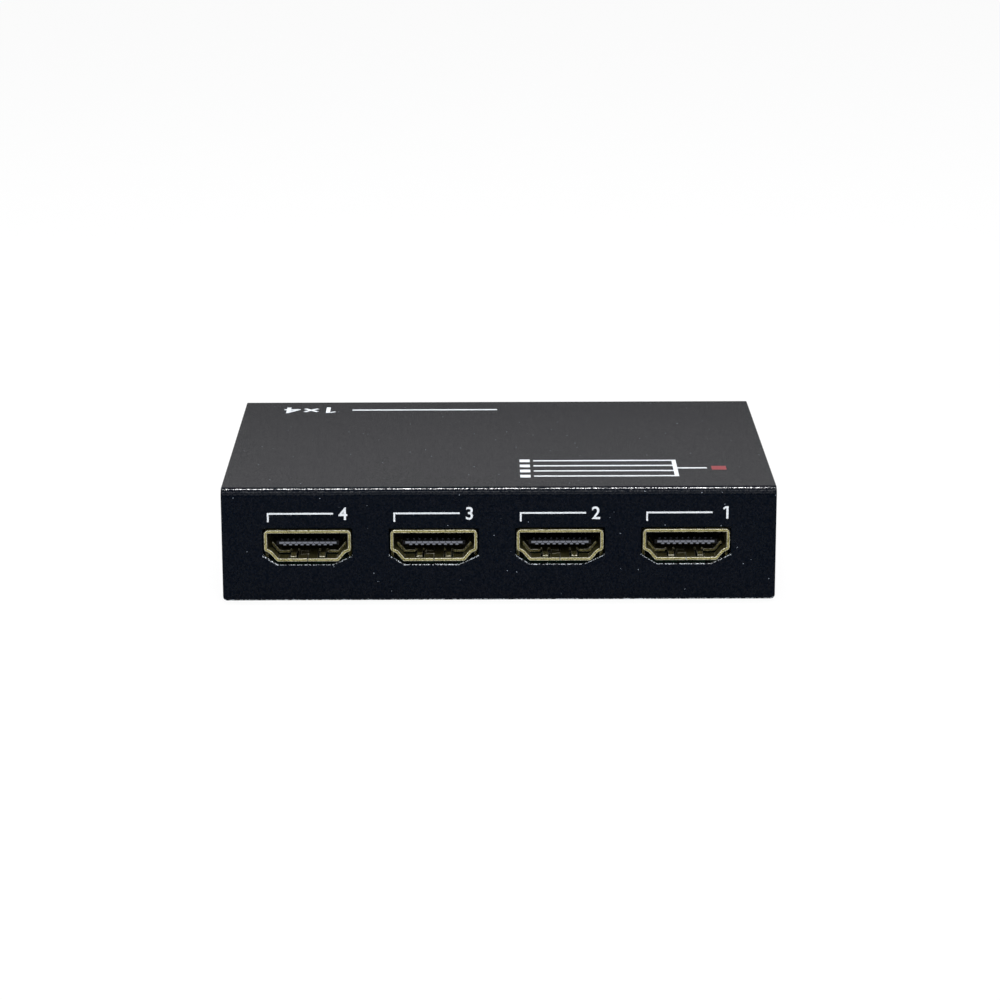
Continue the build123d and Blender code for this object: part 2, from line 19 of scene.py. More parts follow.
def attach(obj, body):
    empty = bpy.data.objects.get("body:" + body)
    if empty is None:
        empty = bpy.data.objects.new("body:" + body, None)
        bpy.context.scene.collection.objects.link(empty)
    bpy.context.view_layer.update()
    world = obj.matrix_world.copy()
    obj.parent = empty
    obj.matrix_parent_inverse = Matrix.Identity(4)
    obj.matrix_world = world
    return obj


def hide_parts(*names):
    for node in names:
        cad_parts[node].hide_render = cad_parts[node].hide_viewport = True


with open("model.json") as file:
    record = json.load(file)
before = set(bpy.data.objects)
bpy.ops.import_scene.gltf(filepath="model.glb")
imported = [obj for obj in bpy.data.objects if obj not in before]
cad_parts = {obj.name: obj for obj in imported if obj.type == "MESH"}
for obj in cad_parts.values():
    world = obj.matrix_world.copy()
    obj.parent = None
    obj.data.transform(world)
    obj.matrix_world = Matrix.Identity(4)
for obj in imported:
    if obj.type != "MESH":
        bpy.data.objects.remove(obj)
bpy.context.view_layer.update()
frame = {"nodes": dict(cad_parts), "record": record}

Colour = tuple[float, float, float, float]
Point2 = tuple[float, float]
Point3 = tuple[float, float, float]
Tree = bpy.types.NodeTree
Socket = bpy.types.NodeSocket
Material = bpy.types.Material
Mesh = bpy.types.Mesh
Piece = bpy.types.Object
Shape = bmesh.types.BMesh
Outline = list[Point2]

LOG = logging.getLogger("splitter")
MM = 0.001
FULL_TURN = 360.0
# Face mark on rounded edges and fold crowns: edge wear, painted highlight and painted floor reflection in the
# coats, raised shine on the cover's fold crown
WEAR_AND_HIGHLIGHT = "worn"
WELD_GAP = 0.001
MIX_LOW, MIX_HIGH, MIX_RESULT = 6, 7, 2
FLAT_ANGLE = math.radians(0.5)
SMOOTH_ANGLE = math.radians(35)
SHARP_ANGLE = math.radians(40)
OUTPUT_PLACES = (32.425, 10.575, -11.275, -33.125)
INPUT_PLACE = 8.0
SOCKET_HEIGHT = 10.1


class Grain(Enum):
    """How a surface was made, which decides the pattern of its fine relief."""

    CAST = "soft rounded noise"
    BRUSHED = "long parallel scratches"
    SPANGLED = "flat crystal cells"


class Facing(Enum):
    """Which panel a receptacle looks out of."""

    FRONT = -1
    REAR = 1


def linear(colour: str) -> Colour:
    """Turn an sRGB hex colour into linear values.

    Args:
        colour: The colour as #rrggbb.

    Returns:
        Linear red, green, blue and an alpha of 1.
    """
    values = [int(colour[place:place + 2], 16) / 255 for place in (1, 3, 5)]
    red, green, blue = [v / 12.92 if v <= 0.04045 else ((v + 0.055) / 1.055) ** 2.4 for v in values]
    return red, green, blue, 1.0


def arc(middle: Point2, radius: float, start: float, sweep: float, steps: int) -> Outline:
    """Follow a circle in even steps, part of the way or once round.

    Args:
        middle: Middle of the circle.
        radius: Its radius.
        start: Where the arc starts, in degrees.
        sweep: How far it turns to the left, in degrees.
        steps: Number of steps.

    Returns:
        The points. A full circle leaves out the last, which would meet the first.
    """
    count = steps if sweep == FULL_TURN else steps + 1
    turns = [math.radians(start + sweep * step / steps) for step in range(count)]
    return [(middle[0] + radius * math.cos(turn), middle[1] + radius * math.sin(turn)) for turn in turns]


@dataclass
class Wiring:
    """A node tree, with the steps that are used in it again and again."""

    tree: Tree

    def add(self, kind: str, settings: dict, links: dict) -> bpy.types.Node:
        """Add one node with its settings and its incoming links.

        Args:
            kind: Blender's name for the kind of node.
            settings: Values by input name, input number or property name.
            links: Sockets to link from, by input name or number.

        Returns:
            The new node.
        """
        node = self.tree.nodes.new(kind)
        for key, value in settings.items():
            if isinstance(key, int) or key in node.inputs:
                node.inputs[key].default_value = value
            else:
                setattr(node, key, value)
        for key, socket in links.items():
            self.tree.links.new(socket, node.inputs[key])
        return node

    def maths(self, operation: str, first: Socket, second: Socket | float) -> Socket:
        """Combine two values.

        Args:
            operation: Blender's name for the operation.
            first: The first value.
            second: The second value, from a socket or fixed.

        Returns:
            The result.
        """
        settings, links = {"operation": operation}, {0: first}
        (settings if isinstance(second, float) else links)[1] = second
        return self.add("ShaderNodeMath", settings, links).outputs[0]

    def spread(self, value: Socket, given: Point2, wanted: Point2 = (0.0, 1.0)) -> Socket:
        """Map a value from one range to another, held within it."""
        settings = dict(zip(("From Min", "From Max", "To Min", "To Max"), given + wanted))
        return self.add("ShaderNodeMapRange", settings, {"Value": value}).outputs[0]

    def blend(self, share: Socket, low: Socket | str, high: str) -> Socket:
        """Mix two colours.

        Args:
            share: Share of the second colour.
            low: The first colour, from a socket or as a hex value.
            high: The second colour as a hex value.

        Returns:
            The mixed colour.
        """
        settings, links = {"data_type": "RGBA", MIX_HIGH: linear(high)}, {0: share}
        if isinstance(low, str):
            settings[MIX_LOW] = linear(low)
        else:
            links[MIX_LOW] = low
        return self.add("ShaderNodeMix", settings, links).outputs[MIX_RESULT]

    def noise(self, size: float, detail: float) -> Socket:
        """Make soft noise with grains of a size in millimetres."""
        settings = {"Scale": 1 / (size * MM), "Detail": detail}
        return self.add("ShaderNodeTexNoise", settings, {"Vector": self.place()}).outputs[0]

    def cells(self, size: float, settings: dict) -> bpy.types.Node:
        """Make cells of a size in millimetres."""
        settings = settings | {"Scale": 1 / (size * MM)}
        return self.add("ShaderNodeTexVoronoi", settings, {"Vector": self.place()})

    def place(self) -> Socket:
        """Give the place on the object, in metres."""
        return self.add("ShaderNodeTexCoord", {}, {}).outputs["Object"]

    def worn(self) -> Socket:
        """Give the mark on rounded edges and fold crowns, which the finishes turn into edge wear, painted
        highlight, painted reflection and a raised shine.
        """
        return self.add("ShaderNodeAttribute", {"attribute_name": WEAR_AND_HIGHLIGHT}, {}).outputs["Fac"]

    def seen_rays(self) -> Socket:
        """Tell rays that are seen, directly, in a mirror or through glass, from those that only light.

        Returns:
            1 for a camera, glossy or transmission ray, otherwise 0.
        """
        path = self.add("ShaderNodeLightPath", {}, {}).outputs
        bounced = self.maths("MAXIMUM", path["Is Glossy Ray"], path["Is Transmission Ray"])
        return self.maths("MAXIMUM", path["Is Camera Ray"], bounced)


def new_piece(shape: Shape, name: str, material: Material, smooth: bool = True) -> Piece:
    """Turn a finished shape into an object at the origin with one material.

    Args:
        shape: The shape, placed in the row's frame.
        name: Name of the piece.
        material: Its finish.
        smooth: Whether it is shaded smooth between its sharp edges.

    Returns:
        The new object.
    """
    mesh = bpy.data.meshes.new(name)
    shape.to_mesh(mesh)
    shape.free()
    mesh.materials.append(material)
    if smooth:
        mesh.polygons.foreach_set("use_smooth", [True] * len(mesh.polygons))
        mesh.set_sharp_from_angle(angle=SMOOTH_ANGLE)
    piece = bpy.data.objects.new(name, mesh)
    bpy.context.scene.collection.objects.link(piece)
    return piece


def evaluated(piece: Piece) -> Mesh:
    """Work out a piece's mesh with its modifiers or as a curve's solid."""
    graph = bpy.context.evaluated_depsgraph_get()
    return bpy.data.meshes.new_from_object(piece.evaluated_get(graph), depsgraph=graph)


def baked(piece: Piece) -> Piece:
    """Turn a piece's modifiers into a plain mesh.

    Args:
        piece: The piece with its modifiers.

    Returns:
        The same piece, with the evaluated mesh and no modifier.
    """
    mesh = evaluated(piece)
    piece.modifiers.clear()
    piece.data = mesh
    return piece


def soften(piece: Piece, width: float, segments: int = 2) -> Piece:
    """Round a piece's sharp edges as a real part's are, and mark the rounding's faces for edge wear and
    painted highlight.

    Args:
        piece: The piece to round.
        width: Width of the rounding in millimetres.
        segments: Steps across the rounding.

    Returns:
        The same piece with the rounding in its mesh and the mark on its faces.
    """
    piece.data.materials.append(piece.data.materials[0])
    bevel = piece.modifiers.new("rounding", "BEVEL")
    bevel.material = 1
    bevel.width = width * MM
    bevel.segments = segments
    bevel.limit_method = "ANGLE"
    bevel.angle_limit = SHARP_ANGLE
    bevel.use_clamp_overlap = False
    bevel.harden_normals = True
    mesh = baked(piece).data
    worn = mesh.attributes.new(WEAR_AND_HIGHLIGHT, "FLOAT", "FACE")
    for face, mark in zip(mesh.polygons, worn.data):
        mark.value = face.material_index
        face.material_index = 0
    mesh.materials.pop(index=1)
    return piece


def stand_in(piece: Piece, node: str, slot: str) -> None:
    """Let a piece stand for a CAD node.

    Args:
        piece: The finished piece.
        node: Name of the CAD node.
        slot: The record's material slot; not used.
    """
    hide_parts(node)
    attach(piece, "root")
    LOG.info("%s stands for %s", piece.name, node)


def soften_node(node: str, width: float, material: Material, slot: str) -> None:
    """Stand a softened copy in for a CAD node, with its loose triangles joined into whole faces.

    Args:
        node: Name of the CAD node.
        width: Width of the rounded edges in millimetres.
        material: Finish of the copy.
        slot: The record's material slot.
    """
    shape = bmesh.new()
    shape.from_mesh(frame["nodes"][node].data)
    bmesh.ops.remove_doubles(shape, verts=shape.verts, dist=WELD_GAP / 2 * MM)
    bmesh.ops.dissolve_limit(shape, angle_limit=FLAT_ANGLE, verts=shape.verts, edges=shape.edges)
    stand_in(soften(new_piece(shape, f"{node}_finished", material), width), node, slot)


@dataclass
class Repeater:
    """A geometry tree that copies a piece to points and gives the copies their finish."""

    name: str
    sizes: dict[str, str]

    def build(self, lay_points: Callable[[Wiring, dict[str, Socket]], Socket]) -> Tree:
        """Make the tree.

        Args:
            lay_points: Adds the nodes that make the points, from the tree's wiring and its inputs.

        Returns:
            A tree with inputs for the piece, the sizes and the finish.
        """
        tree = bpy.data.node_groups.new(self.name, "GeometryNodeTree")
        for label, kind in {"Piece": "Geometry", **self.sizes, "Finish": "Material"}.items():
            tree.interface.new_socket(label, in_out="INPUT", socket_type=f"NodeSocket{kind}")
        tree.interface.new_socket("Copies", in_out="OUTPUT", socket_type="NodeSocketGeometry")
        wiring = Wiring(tree)
        given = dict(wiring.add("NodeGroupInput", {}, {}).outputs)
        links = {"Points": lay_points(wiring, given), "Instance": given["Piece"]}
        copies = wiring.add("GeometryNodeInstanceOnPoints", {}, links)
        real = wiring.add("GeometryNodeRealizeInstances", {}, {"Geometry": copies.outputs[0]})
        links = {"Geometry": real.outputs[0], "Material": given["Finish"]}
        dressed = wiring.add("GeometryNodeSetMaterial", {}, links)
        wiring.add("NodeGroupOutput", {}, {"Copies": dressed.outputs[0]})
        return tree


def repeated(piece: Piece, tree: Tree, values: dict) -> Piece:
    """Copy a piece with a geometry tree and keep the copies as a plain mesh.

    Args:
        piece: The piece to copy.
        tree: The geometry tree.
        values: Values of the tree's inputs by name.

    Returns:
        The same piece, now with all its copies.
    """
    modifier = piece.modifiers.new("copies", "NODES")
    modifier.node_group = tree
    for socket in tree.interface.items_tree:
        if socket.name in values:
            modifier[socket.identifier] = values[socket.name]
    return baked(piece)


@dataclass(frozen=True)
class Finish:
    """A surface with slight changes of colour and gloss, and fine relief.

    Its grain and relief are millimetres, and its colours are sRGB hex values.
    """

    name: str
    colour: str
    second: str
    metallic: float = 0.0
    gloss: Point2 = (0.35, 0.5)
    specular: float = 0.5
    grain: float = 0.5
    relief: float = 0.01
    kind: Grain = Grain.CAST
    patch_size: float = 9.0
    relief_share: float = 0.4
    brush_squeeze: float = 0.04

    def pattern(self, wiring: Wiring) -> Socket:
        """Make the fine relief that the way of making leaves.

        Args:
            wiring: The material's nodes.

        Returns:
            The relief as a value from 0 to 1.
        """
        if self.kind is Grain.SPANGLED:
            return wiring.cells(self.grain, {"feature": "F1"}).outputs["Color"]
        stretch = (self.brush_squeeze, 1.0, 1.0) if self.kind is Grain.BRUSHED else (1.0, 1.0, 1.0)
        turned = wiring.add("ShaderNodeMapping", {"Scale": stretch}, {"Vector": wiring.place()})
        settings = {"Scale": 1 / (self.grain * MM), "Detail": 3.0, "Roughness": 0.55}
        return wiring.add("ShaderNodeTexNoise", settings, {"Vector": turned.outputs[0]}).outputs[0]

    def tint(self, wiring: Wiring, relief: Socket) -> Socket:
        """Vary the colour in broad soft patches with a little of the relief.

        Args:
            wiring: The material's nodes.
            relief: The fine relief.

        Returns:
            The colour.
        """
        patches = wiring.noise(self.patch_size, 2.0)
        share = wiring.add("ShaderNodeMix", {"Factor": self.relief_share}, {"A": patches, "B": relief})
        return wiring.blend(share.outputs[0], self.colour, self.second)

    def extra(self, wiring: Wiring, shader: bpy.types.Node) -> None:
        """Add what only one finish has. A plain finish has nothing more."""

    def build(self) -> Material:
        """Make the material.

        Returns:
            The finished node material.
        """
        material = bpy.data.materials.new(self.name)
        material.use_nodes = True
        wiring = Wiring(material.node_tree)
        shader = wiring.tree.nodes["Principled BSDF"]
        shader.inputs["Metallic"].default_value = self.metallic
        shader.inputs["Specular IOR Level"].default_value = self.specular
        relief = self.pattern(wiring)
        bump = {"Strength": 1.0, "Distance": self.relief * MM}
        sockets = {
            "Base Color": self.tint(wiring, relief),
            "Roughness": wiring.spread(relief, (0.0, 1.0), self.gloss),
            "Normal": wiring.add("ShaderNodeBump", bump, {"Height": relief}).outputs[0],
        }
        for name, socket in sockets.items():
            wiring.tree.links.new(socket, shader.inputs[name])
        self.extra(wiring, shader)
        return material


@dataclass(frozen=True)
class PowderCoat(Finish):
    """Baked powder coat: low round orange peel, and here and there a pale grain of dust in the film."""

    speck_spacing: float = 1.5
    speck_radius: float = 0.085
    speck_colour: str = "#78808a"
    speck_share: float = 0.4
    # Pale colour of marked edges: painted highlight and painted floor reflection on the cover, wear showing
    # bare steel on the chassis
    worn_colour: str = "#9aa2aa"
    worn_grain: float = 0.24
    worn_steps: Point2 = (0.42, 0.56)
    # Specular level on fold crowns and marked edges, which brightens the lamps' highlights there
    worn_specular: float = 1.0
    folds_wear: float = 0.5
    haze_steps: Point2 = (0.3, 0.7)
    haze_range: Point2 = (0.3, 1.7)

    def extra(self, wiring: Wiring, shader: bpy.types.Node) -> None:
        """Raise the film's specular level on the marked faces, and pale the marked edges in speckles: a
        painted highlight on the cover's up-facing cut edges, a painted floor reflection along its bottom
        edge, and wear showing steel on the chassis.

        Args:
            wiring: The material's nodes.
            shader: Its surface shader.
        """
        speckle_noise = wiring.noise(self.worn_grain, 1.0)
        shine_mark = wiring.maths("MULTIPLY", wiring.worn(), wiring.spread(speckle_noise, self.worn_steps))
        least, most = self.haze_range
        film = wiring.spread(speckle_noise, self.haze_steps, (least * self.specular, most * self.specular))
        shine = {"From Max": self.folds_wear, "To Max": self.worn_specular}
        level = wiring.add("ShaderNodeMapRange", shine, {"Value": shine_mark, "To Min": film}).outputs[0]
        wiring.tree.links.new(level, shader.inputs["Specular IOR Level"])
        coated = shader.inputs["Base Color"].links[0].from_socket
        # Pales the marked edges: painted highlight on the cover's up-facing cut edges, painted floor
        # reflection on its bottom edge, wear on the chassis
        colour = wiring.blend(wiring.spread(shine_mark, (self.folds_wear, 1.0)), coated, self.worn_colour)
        wiring.tree.links.new(colour, shader.inputs["Base Color"])

    def tint(self, wiring: Wiring, relief: Socket) -> Socket:
        """Lay rare pale specks over the plain film.

        Args:
            wiring: The material's nodes.
            relief: The fine relief.

        Returns:
            The colour.
        """
        cells = wiring.cells(self.speck_spacing, {}).outputs
        near = wiring.maths("LESS_THAN", cells["Distance"], self.speck_radius / self.speck_spacing)
        chosen = wiring.maths("LESS_THAN", cells["Color"], self.speck_share)
        both = wiring.maths("MULTIPLY", near, chosen)
        return wiring.blend(both, super().tint(wiring, relief), self.speck_colour)


@dataclass(frozen=True)
class GoldFlash(Finish):
    """Thin gold over dull steel: a fine brown mottle, and a near-white painted highlight on the rounded
    edges.
    """

    # Near-white painted highlight on every rounded edge of the shell
    worn_colour: str = "#f5f4e8"
    mottle_steps: Point2 = (0.36, 0.62)

    def tint(self, wiring: Wiring, relief: Socket) -> Socket:
        """Mottle the gold finely and paint a near-white highlight on its rounded edges.

        Args:
            wiring: The material's nodes.
            relief: The fine relief.

        Returns:
            The colour.
        """
        mottle = wiring.spread(relief, self.mottle_steps)
        gold = wiring.blend(mottle, self.second, self.colour)
        # Pales the rounded edges towards near-white as a painted highlight
        return wiring.blend(wiring.maths("MULTIPLY", wiring.worn(), mottle), gold, self.worn_colour)


@dataclass(frozen=True)
class SolderMask(Finish):
    """Solder mask over etched copper: lighter runs of straight tracks show through the green film."""

    track_colour: str = "#0b2a1b"
    track_pitch: float = 2.2
    ring_share: float = 0.09
    gap_share: float = 0.05

    def tint(self, wiring: Wiring, relief: Socket) -> Socket:
        """Draw square-cornered tracks under the film.

        Args:
            wiring: The material's nodes.
            relief: The fine relief.

        Returns:
            The colour.
        """
        cells = wiring.cells(self.track_pitch, {"distance": "CHEBYCHEV", "feature": "F1"})
        rings = wiring.maths("PINGPONG", cells.outputs["Distance"], self.ring_share)
        tracks = wiring.maths("GREATER_THAN", rings, self.gap_share)
        return wiring.blend(tracks, super().tint(wiring, relief), self.track_colour)


@dataclass(frozen=True)
class LightResin(Finish):
    """Tinted epoxy resin of a round light: clear enough to let light through."""

    def extra(self, wiring: Wiring, shader: bpy.types.Node) -> None:
        """Let light through the resin.

        Args:
            wiring: The material's nodes.
            shader: Its surface shader.
        """
        for name, value in {"Transmission Weight": 0.45, "Coat Weight": 0.6, "Coat Roughness": 0.08}.items():
            shader.inputs[name].default_value = value


# Each finish gives: name, two colours, metal, range of roughness, specular level, grain and relief
FINISHES: dict[str, Finish] = {
    # Baked powder coat: near-black, slightly blue, satin with orange peel
    "case_black": PowderCoat("powder_coated_steel", "#01050e", "#02060f", 0.0, (0.09, 0.2), 0.055, 0.5, 0.06),
    # Pale gold flash on stamped steel, mottled with dark olive; its rims carry a near-white painted highlight
    "gold_plate": GoldFlash("gold_flashed_steel", "#b0a974", "#484421", 1.0, (0.34, 0.56), 0.5, 0.15, 0.07),
    # Glass-filled nylon: black with a faint dull bloom
    "insulator_black": Finish("moulded_black_nylon", "#050607", "#0a0b0d", 0.0, (0.42, 0.6), 0.1, 0.16,
                              0.006),
    # Bright plating on contact blades: whitish and cool
    "contact_metal": Finish("plated_contact_metal", "#7d8089", "#6a6d76", 1.0, (0.12, 0.22), 0.5, 0.2, 0.002),
    # Zinc plate on steel: bluish grey with soft crystal patches
    "zinc_steel": Finish("zinc_plated_steel", "#bfc3c8", "#9aa1aa", 1.0, (0.26, 0.4), 0.5, 0.9, 0.003,
                         Grain.SPANGLED),
    # Solder mask: dark green glossy film with tracks under it, its colour taken down to near-black as painted
    # shade inside the case
    "board_green": SolderMask("green_solder_mask", "#05130d", "#040f0a", 0.0, (0.2, 0.34), 0.25, 0.3, 0.006),
    # ABS: plain black with a fine mould texture
    "jack_black": Finish("moulded_black_abs", "#17181a", "#202124", 0.0, (0.38, 0.55), 0.45, 0.22, 0.008),
    # Nickel-plated brass: warm grey and smooth
    "nickel_brass": Finish("nickel_plated_brass", "#cfcabd", "#aaa392", 1.0, (0.16, 0.3), 0.5, 0.4, 0.002),
    # Tinned leads: grey-white, drawn along their length
    "tinned_metal": Finish("tinned_copper", "#cdd0d2", "#a9adb0", 1.0, (0.24, 0.42), 0.5, 0.12, 0.003,
                           Grain.BRUSHED),
    # Moulding compound: charcoal with a fine erosion texture
    "chip_black": Finish("chip_moulding_compound", "#1f2023", "#2a2b2e", 0.0, (0.5, 0.66), 0.4, 0.12, 0.008),
    # Sintered ferrite: dark grey, dry and slightly porous
    "ferrite_grey": Finish("sintered_ferrite", "#3d3e41", "#4b4c50", 0.0, (0.6, 0.78), 0.35, 0.3, 0.02),
    # Aluminium can: silver with fine lines from the draw
    "can_aluminium": Finish("drawn_aluminium", "#d7d9dc", "#bcc0c4", 1.0, (0.24, 0.38), 0.5, 0.1, 0.003,
                            Grain.BRUSHED),
    # Phenolic base of the can: dull black
    "base_black": Finish("phenolic_moulding", "#232427", "#2d2e31", 0.0, (0.5, 0.68), 0.4, 0.2, 0.01),
    # Plated lid of the crystal: pale and slightly brushed
    "crystal_lid": Finish("plated_crystal_lid", "#d3cfbf", "#b5b09d", 1.0, (0.22, 0.36), 0.5, 0.15, 0.003,
                          Grain.BRUSHED),
    # Fuse body: mid green with a waxy film
    "fuse_body": Finish("coated_fuse_body", "#2d6a3a", "#24562f", 0.0, (0.3, 0.45), 0.5, 0.25, 0.006),
    # Fired ceramic of chip capacitors: tan and fine-grained
    "ceramic_tan": Finish("fired_ceramic", "#b79b78", "#a2845f", 0.0, (0.4, 0.55), 0.45, 0.12, 0.005),
    # Tinted resin of the power light
    "light_red": LightResin("tinted_epoxy_resin", "#b3140f", "#8f0f0c", 0.0, (0.1, 0.2), 0.5, 1.2, 0.002),
}
# Screen-printed inks: flat white and deep dull red
WHITE_INK = Finish("white_screen_ink", "#d0d4d9", "#c0c5ca", 0.0, (0.5, 0.65), 0.4, 0.12, 0.004)
RED_INK = Finish("red_screen_ink", "#7a262d", "#662026", 0.0, (0.5, 0.65), 0.4, 0.12, 0.004)


@dataclass
class FoldedSheet:
    """What both halves of the case share: plates and folds of one sheet with rounded cut edges."""

    name: str
    node: str
    edge_rounding: float
    edge_steps: int = 3
    sheet: float = 0.8
    bend: float = 1.5

    def add_plate(self, shape: Shape, skins: list[tuple[list[Outline], Matrix]], bends: set[int]) -> None:
        """Add a flat plate with holes from the outlines of its two sides.

        Args:
            shape: The mesh that takes the plate.
            skins: For each side its outlines, the border first and then the holes, and its place.
            bends: Numbers of the border's edges where a bend goes on, which stay open.
        """
        rings = []
        for outlines, place in skins:
            flat = [[Vector((u, v, 0.0)) for u, v in outline] for outline in outlines]
            verts = [shape.verts.new(place @ point * MM) for outline in flat for point in outline]
            for corners in tessellate_polygon(flat):
                shape.faces.new([verts[corner] for corner in corners])
            rings.append(verts)
        start = 0
        for number, outline in enumerate(skins[0][0]):
            count = len(outline)
            for step in range(count):
                if number > 0 or step not in bends:
                    here, there = start + step, start + (step + 1) % count
                    shape.faces.new([rings[0][here], rings[0][there], rings[1][there], rings[1][here]])
            start += count

    def add_fold(self, shape: Shape, lines: list[Outline], half: float, place: Matrix) -> None:
        """Add sheet that follows the outer and the inner line of its cross-section.

        Args:
            shape: The mesh that takes the sheet.
            lines: The outer and the inner line.
            half: Half the sheet's width across the lines.
            place: Turns the lines' two directions and the width's into the frame.
        """
        rows = [[[shape.verts.new(place @ Vector((u, v, end)) * MM) for u, v in line] for line in lines]
                for end in (-half, half)]
        (near_out, near_in), (far_out, far_in) = rows
        pairs = ((near_out, far_out), (near_in, far_in), (near_out, near_in), (far_out, far_in))
        for step in range(len(near_out) - 1):
            for one, other in pairs:
                shape.faces.new([one[step], one[step + 1], other[step + 1], other[step]])

    def add_parts(self, shape: Shape) -> None:
        """Add the plates and folds, which each half of the case has of its own."""

    def mark_wear(self, mesh: Mesh) -> None:
        """Choose which marked edges keep their mark. A half that doesn't keeps all of them, as edge wear."""

    def build(self, coat: Material) -> None:
        """Join the plates and folds, round the cut edges and stand the piece in for the CAD one.

        Args:
            coat: The case's powder coat.
        """
        shape = bmesh.new()
        self.add_parts(shape)
        bmesh.ops.remove_doubles(shape, verts=shape.verts, dist=WELD_GAP * MM)
        bmesh.ops.recalc_face_normals(shape, faces=shape.faces)
        bmesh.ops.dissolve_limit(shape, angle_limit=FLAT_ANGLE, verts=shape.verts, edges=shape.edges)
        piece = soften(new_piece(shape, self.name, coat), self.edge_rounding, self.edge_steps)
        self.mark_wear(piece.data)
        stand_in(piece, self.node, "case_black")


@dataclass
class FoldedCover(FoldedSheet):
    """Front panel, top and rear panel, folded from one sheet and cut out for the sockets."""

    name: str = "folded_cover"
    node: str = "top_cover"
    edge_rounding: float = 0.2
    width: float = 96.0
    depth: float = 66.0
    height: float = 20.2
    lift: float = 0.1
    bend_steps: int = 15
    corner: float = 0.7
    corner_steps: int = 4
    opening: tuple[Point2, ...] = (
        (-7.7, 2.925), (-7.7, -1.875), (-5.15, -3.475), (4.35, -3.475), (7.7, -1.875), (7.7, 2.925))
    jack_box: tuple[float, float, float, float] = (26.3, 7.005, 35.7, 18.405)
    light_place: Point2 = (-13.0, 11.205)
    light_hole: float = 1.6
    light_steps: int = 32
    # Band of the top folds, facing the overhead lamp, whose specular level is raised to brighten that lamp's
    # highlight
    crown: Point2 = (53.0, 59.0)
    crown_wear: float = 0.5
    crown_tilt: float = 0.05
    # Cut edges whose normals rise in this range keep the pale mark as a painted highlight of the overhead
    # light
    worn_rise: Point2 = (0.2, 0.9)
    # Edges lower than this keep the pale mark as a painted reflection of the floor
    table_edge: float = 0.5

    def socket_opening(self, place: float, facing: Facing) -> Outline:
        """Outline one punched socket opening.

        Args:
            place: Middle of the socket across the case.
            facing: The panel that it is punched in.

        Returns:
            The corners in the panel's plane.
        """
        return [(place - facing.value * x, SOCKET_HEIGHT + z) for x, z in self.opening]

    def openings(self, facing: Facing) -> list[Outline]:
        """List the outlines cut from a panel.

        Args:
            facing: Which panel it is.

        Returns:
            One outline for each opening.
        """
        if facing is Facing.FRONT:
            return [self.socket_opening(place, facing) for place in OUTPUT_PLACES]
        x0, z0, x1, z1 = self.jack_box
        light = arc(self.light_place, self.light_hole, 0.0, FULL_TURN, self.light_steps)
        return [self.socket_opening(INPUT_PLACE, facing), [(x0, z0), (x1, z0), (x1, z1), (x0, z1)], light]

    def add_panel(self, shape: Shape, facing: Facing) -> None:
        """Add one flat panel, open at the fold and rounded at its two free corners.

        Args:
            shape: The mesh that takes the panel.
            facing: Which panel it is.
        """
        half, top = self.width / 2, self.height - self.bend
        low = self.lift + self.corner
        left = arc((self.corner - half, low), self.corner, 180.0, 90.0, self.corner_steps)
        right = arc((half - self.corner, low), self.corner, 270.0, 90.0, self.corner_steps)
        border = [(-half, top), *left, *right, (half, top)]
        outlines = [border, *self.openings(facing)]
        upright = Matrix.Rotation(math.pi / 2, 4, "X")
        outer = facing.value * self.depth / 2
        sides = (outer, outer - facing.value * self.sheet)
        skins = [(outlines, Matrix.Translation((0.0, y, 0.0)) @ upright) for y in sides]
        self.add_plate(shape, skins, {len(border) - 1})

    def add_top(self, shape: Shape) -> None:
        """Add the top plate with both bends.

        Args:
            shape: The mesh that takes the top.
        """
        middle, level = self.depth / 2 - self.bend, self.height - self.bend
        lines = []
        for radius in (self.bend, self.bend - self.sheet):
            front = arc((-middle, level), radius, 180.0, -90.0, self.bend_steps)
            lines.append(front + arc((middle, level), radius, 90.0, -90.0, self.bend_steps))
        place = Matrix(((0, 0, 1, 0), (1, 0, 0, 0), (0, 1, 0, 0), (0, 0, 0, 1)))
        self.add_fold(shape, lines, self.width / 2, place)

    def mark_wear(self, mesh: Mesh) -> None:
        """Keep the mark on cut edges that face up, as a painted highlight, and on the bottom edge, as a
        painted reflection of the floor; give the crown of the top folds a half mark, which raises only its
        shine.

        Args:
            mesh: The finished cover with its marks.
        """
        fold = (self.height - self.bend) * MM
        low, high = (math.sin(math.radians(angle)) for angle in self.crown)
        least, most = self.worn_rise
        for face, mark in zip(mesh.polygons, mesh.attributes[WEAR_AND_HIGHLIGHT].data):
            rise, tall = face.normal.z, face.center.z
            if tall > fold and low < rise < high and abs(face.normal.x) < self.crown_tilt:
                mark.value = self.crown_wear
            # Other cover edges lose the mark; up-facing ones keep it as painted highlight, bottom ones as
            # painted floor reflection
            elif tall > fold or not (least < rise < most or tall < self.table_edge * MM):
                mark.value = 0.0

    def add_parts(self, shape: Shape) -> None:
        """Add both panels and the top.

        Args:
            shape: The mesh that takes them.
        """
        for facing in Facing:
            self.add_panel(shape, facing)
        self.add_top(shape)


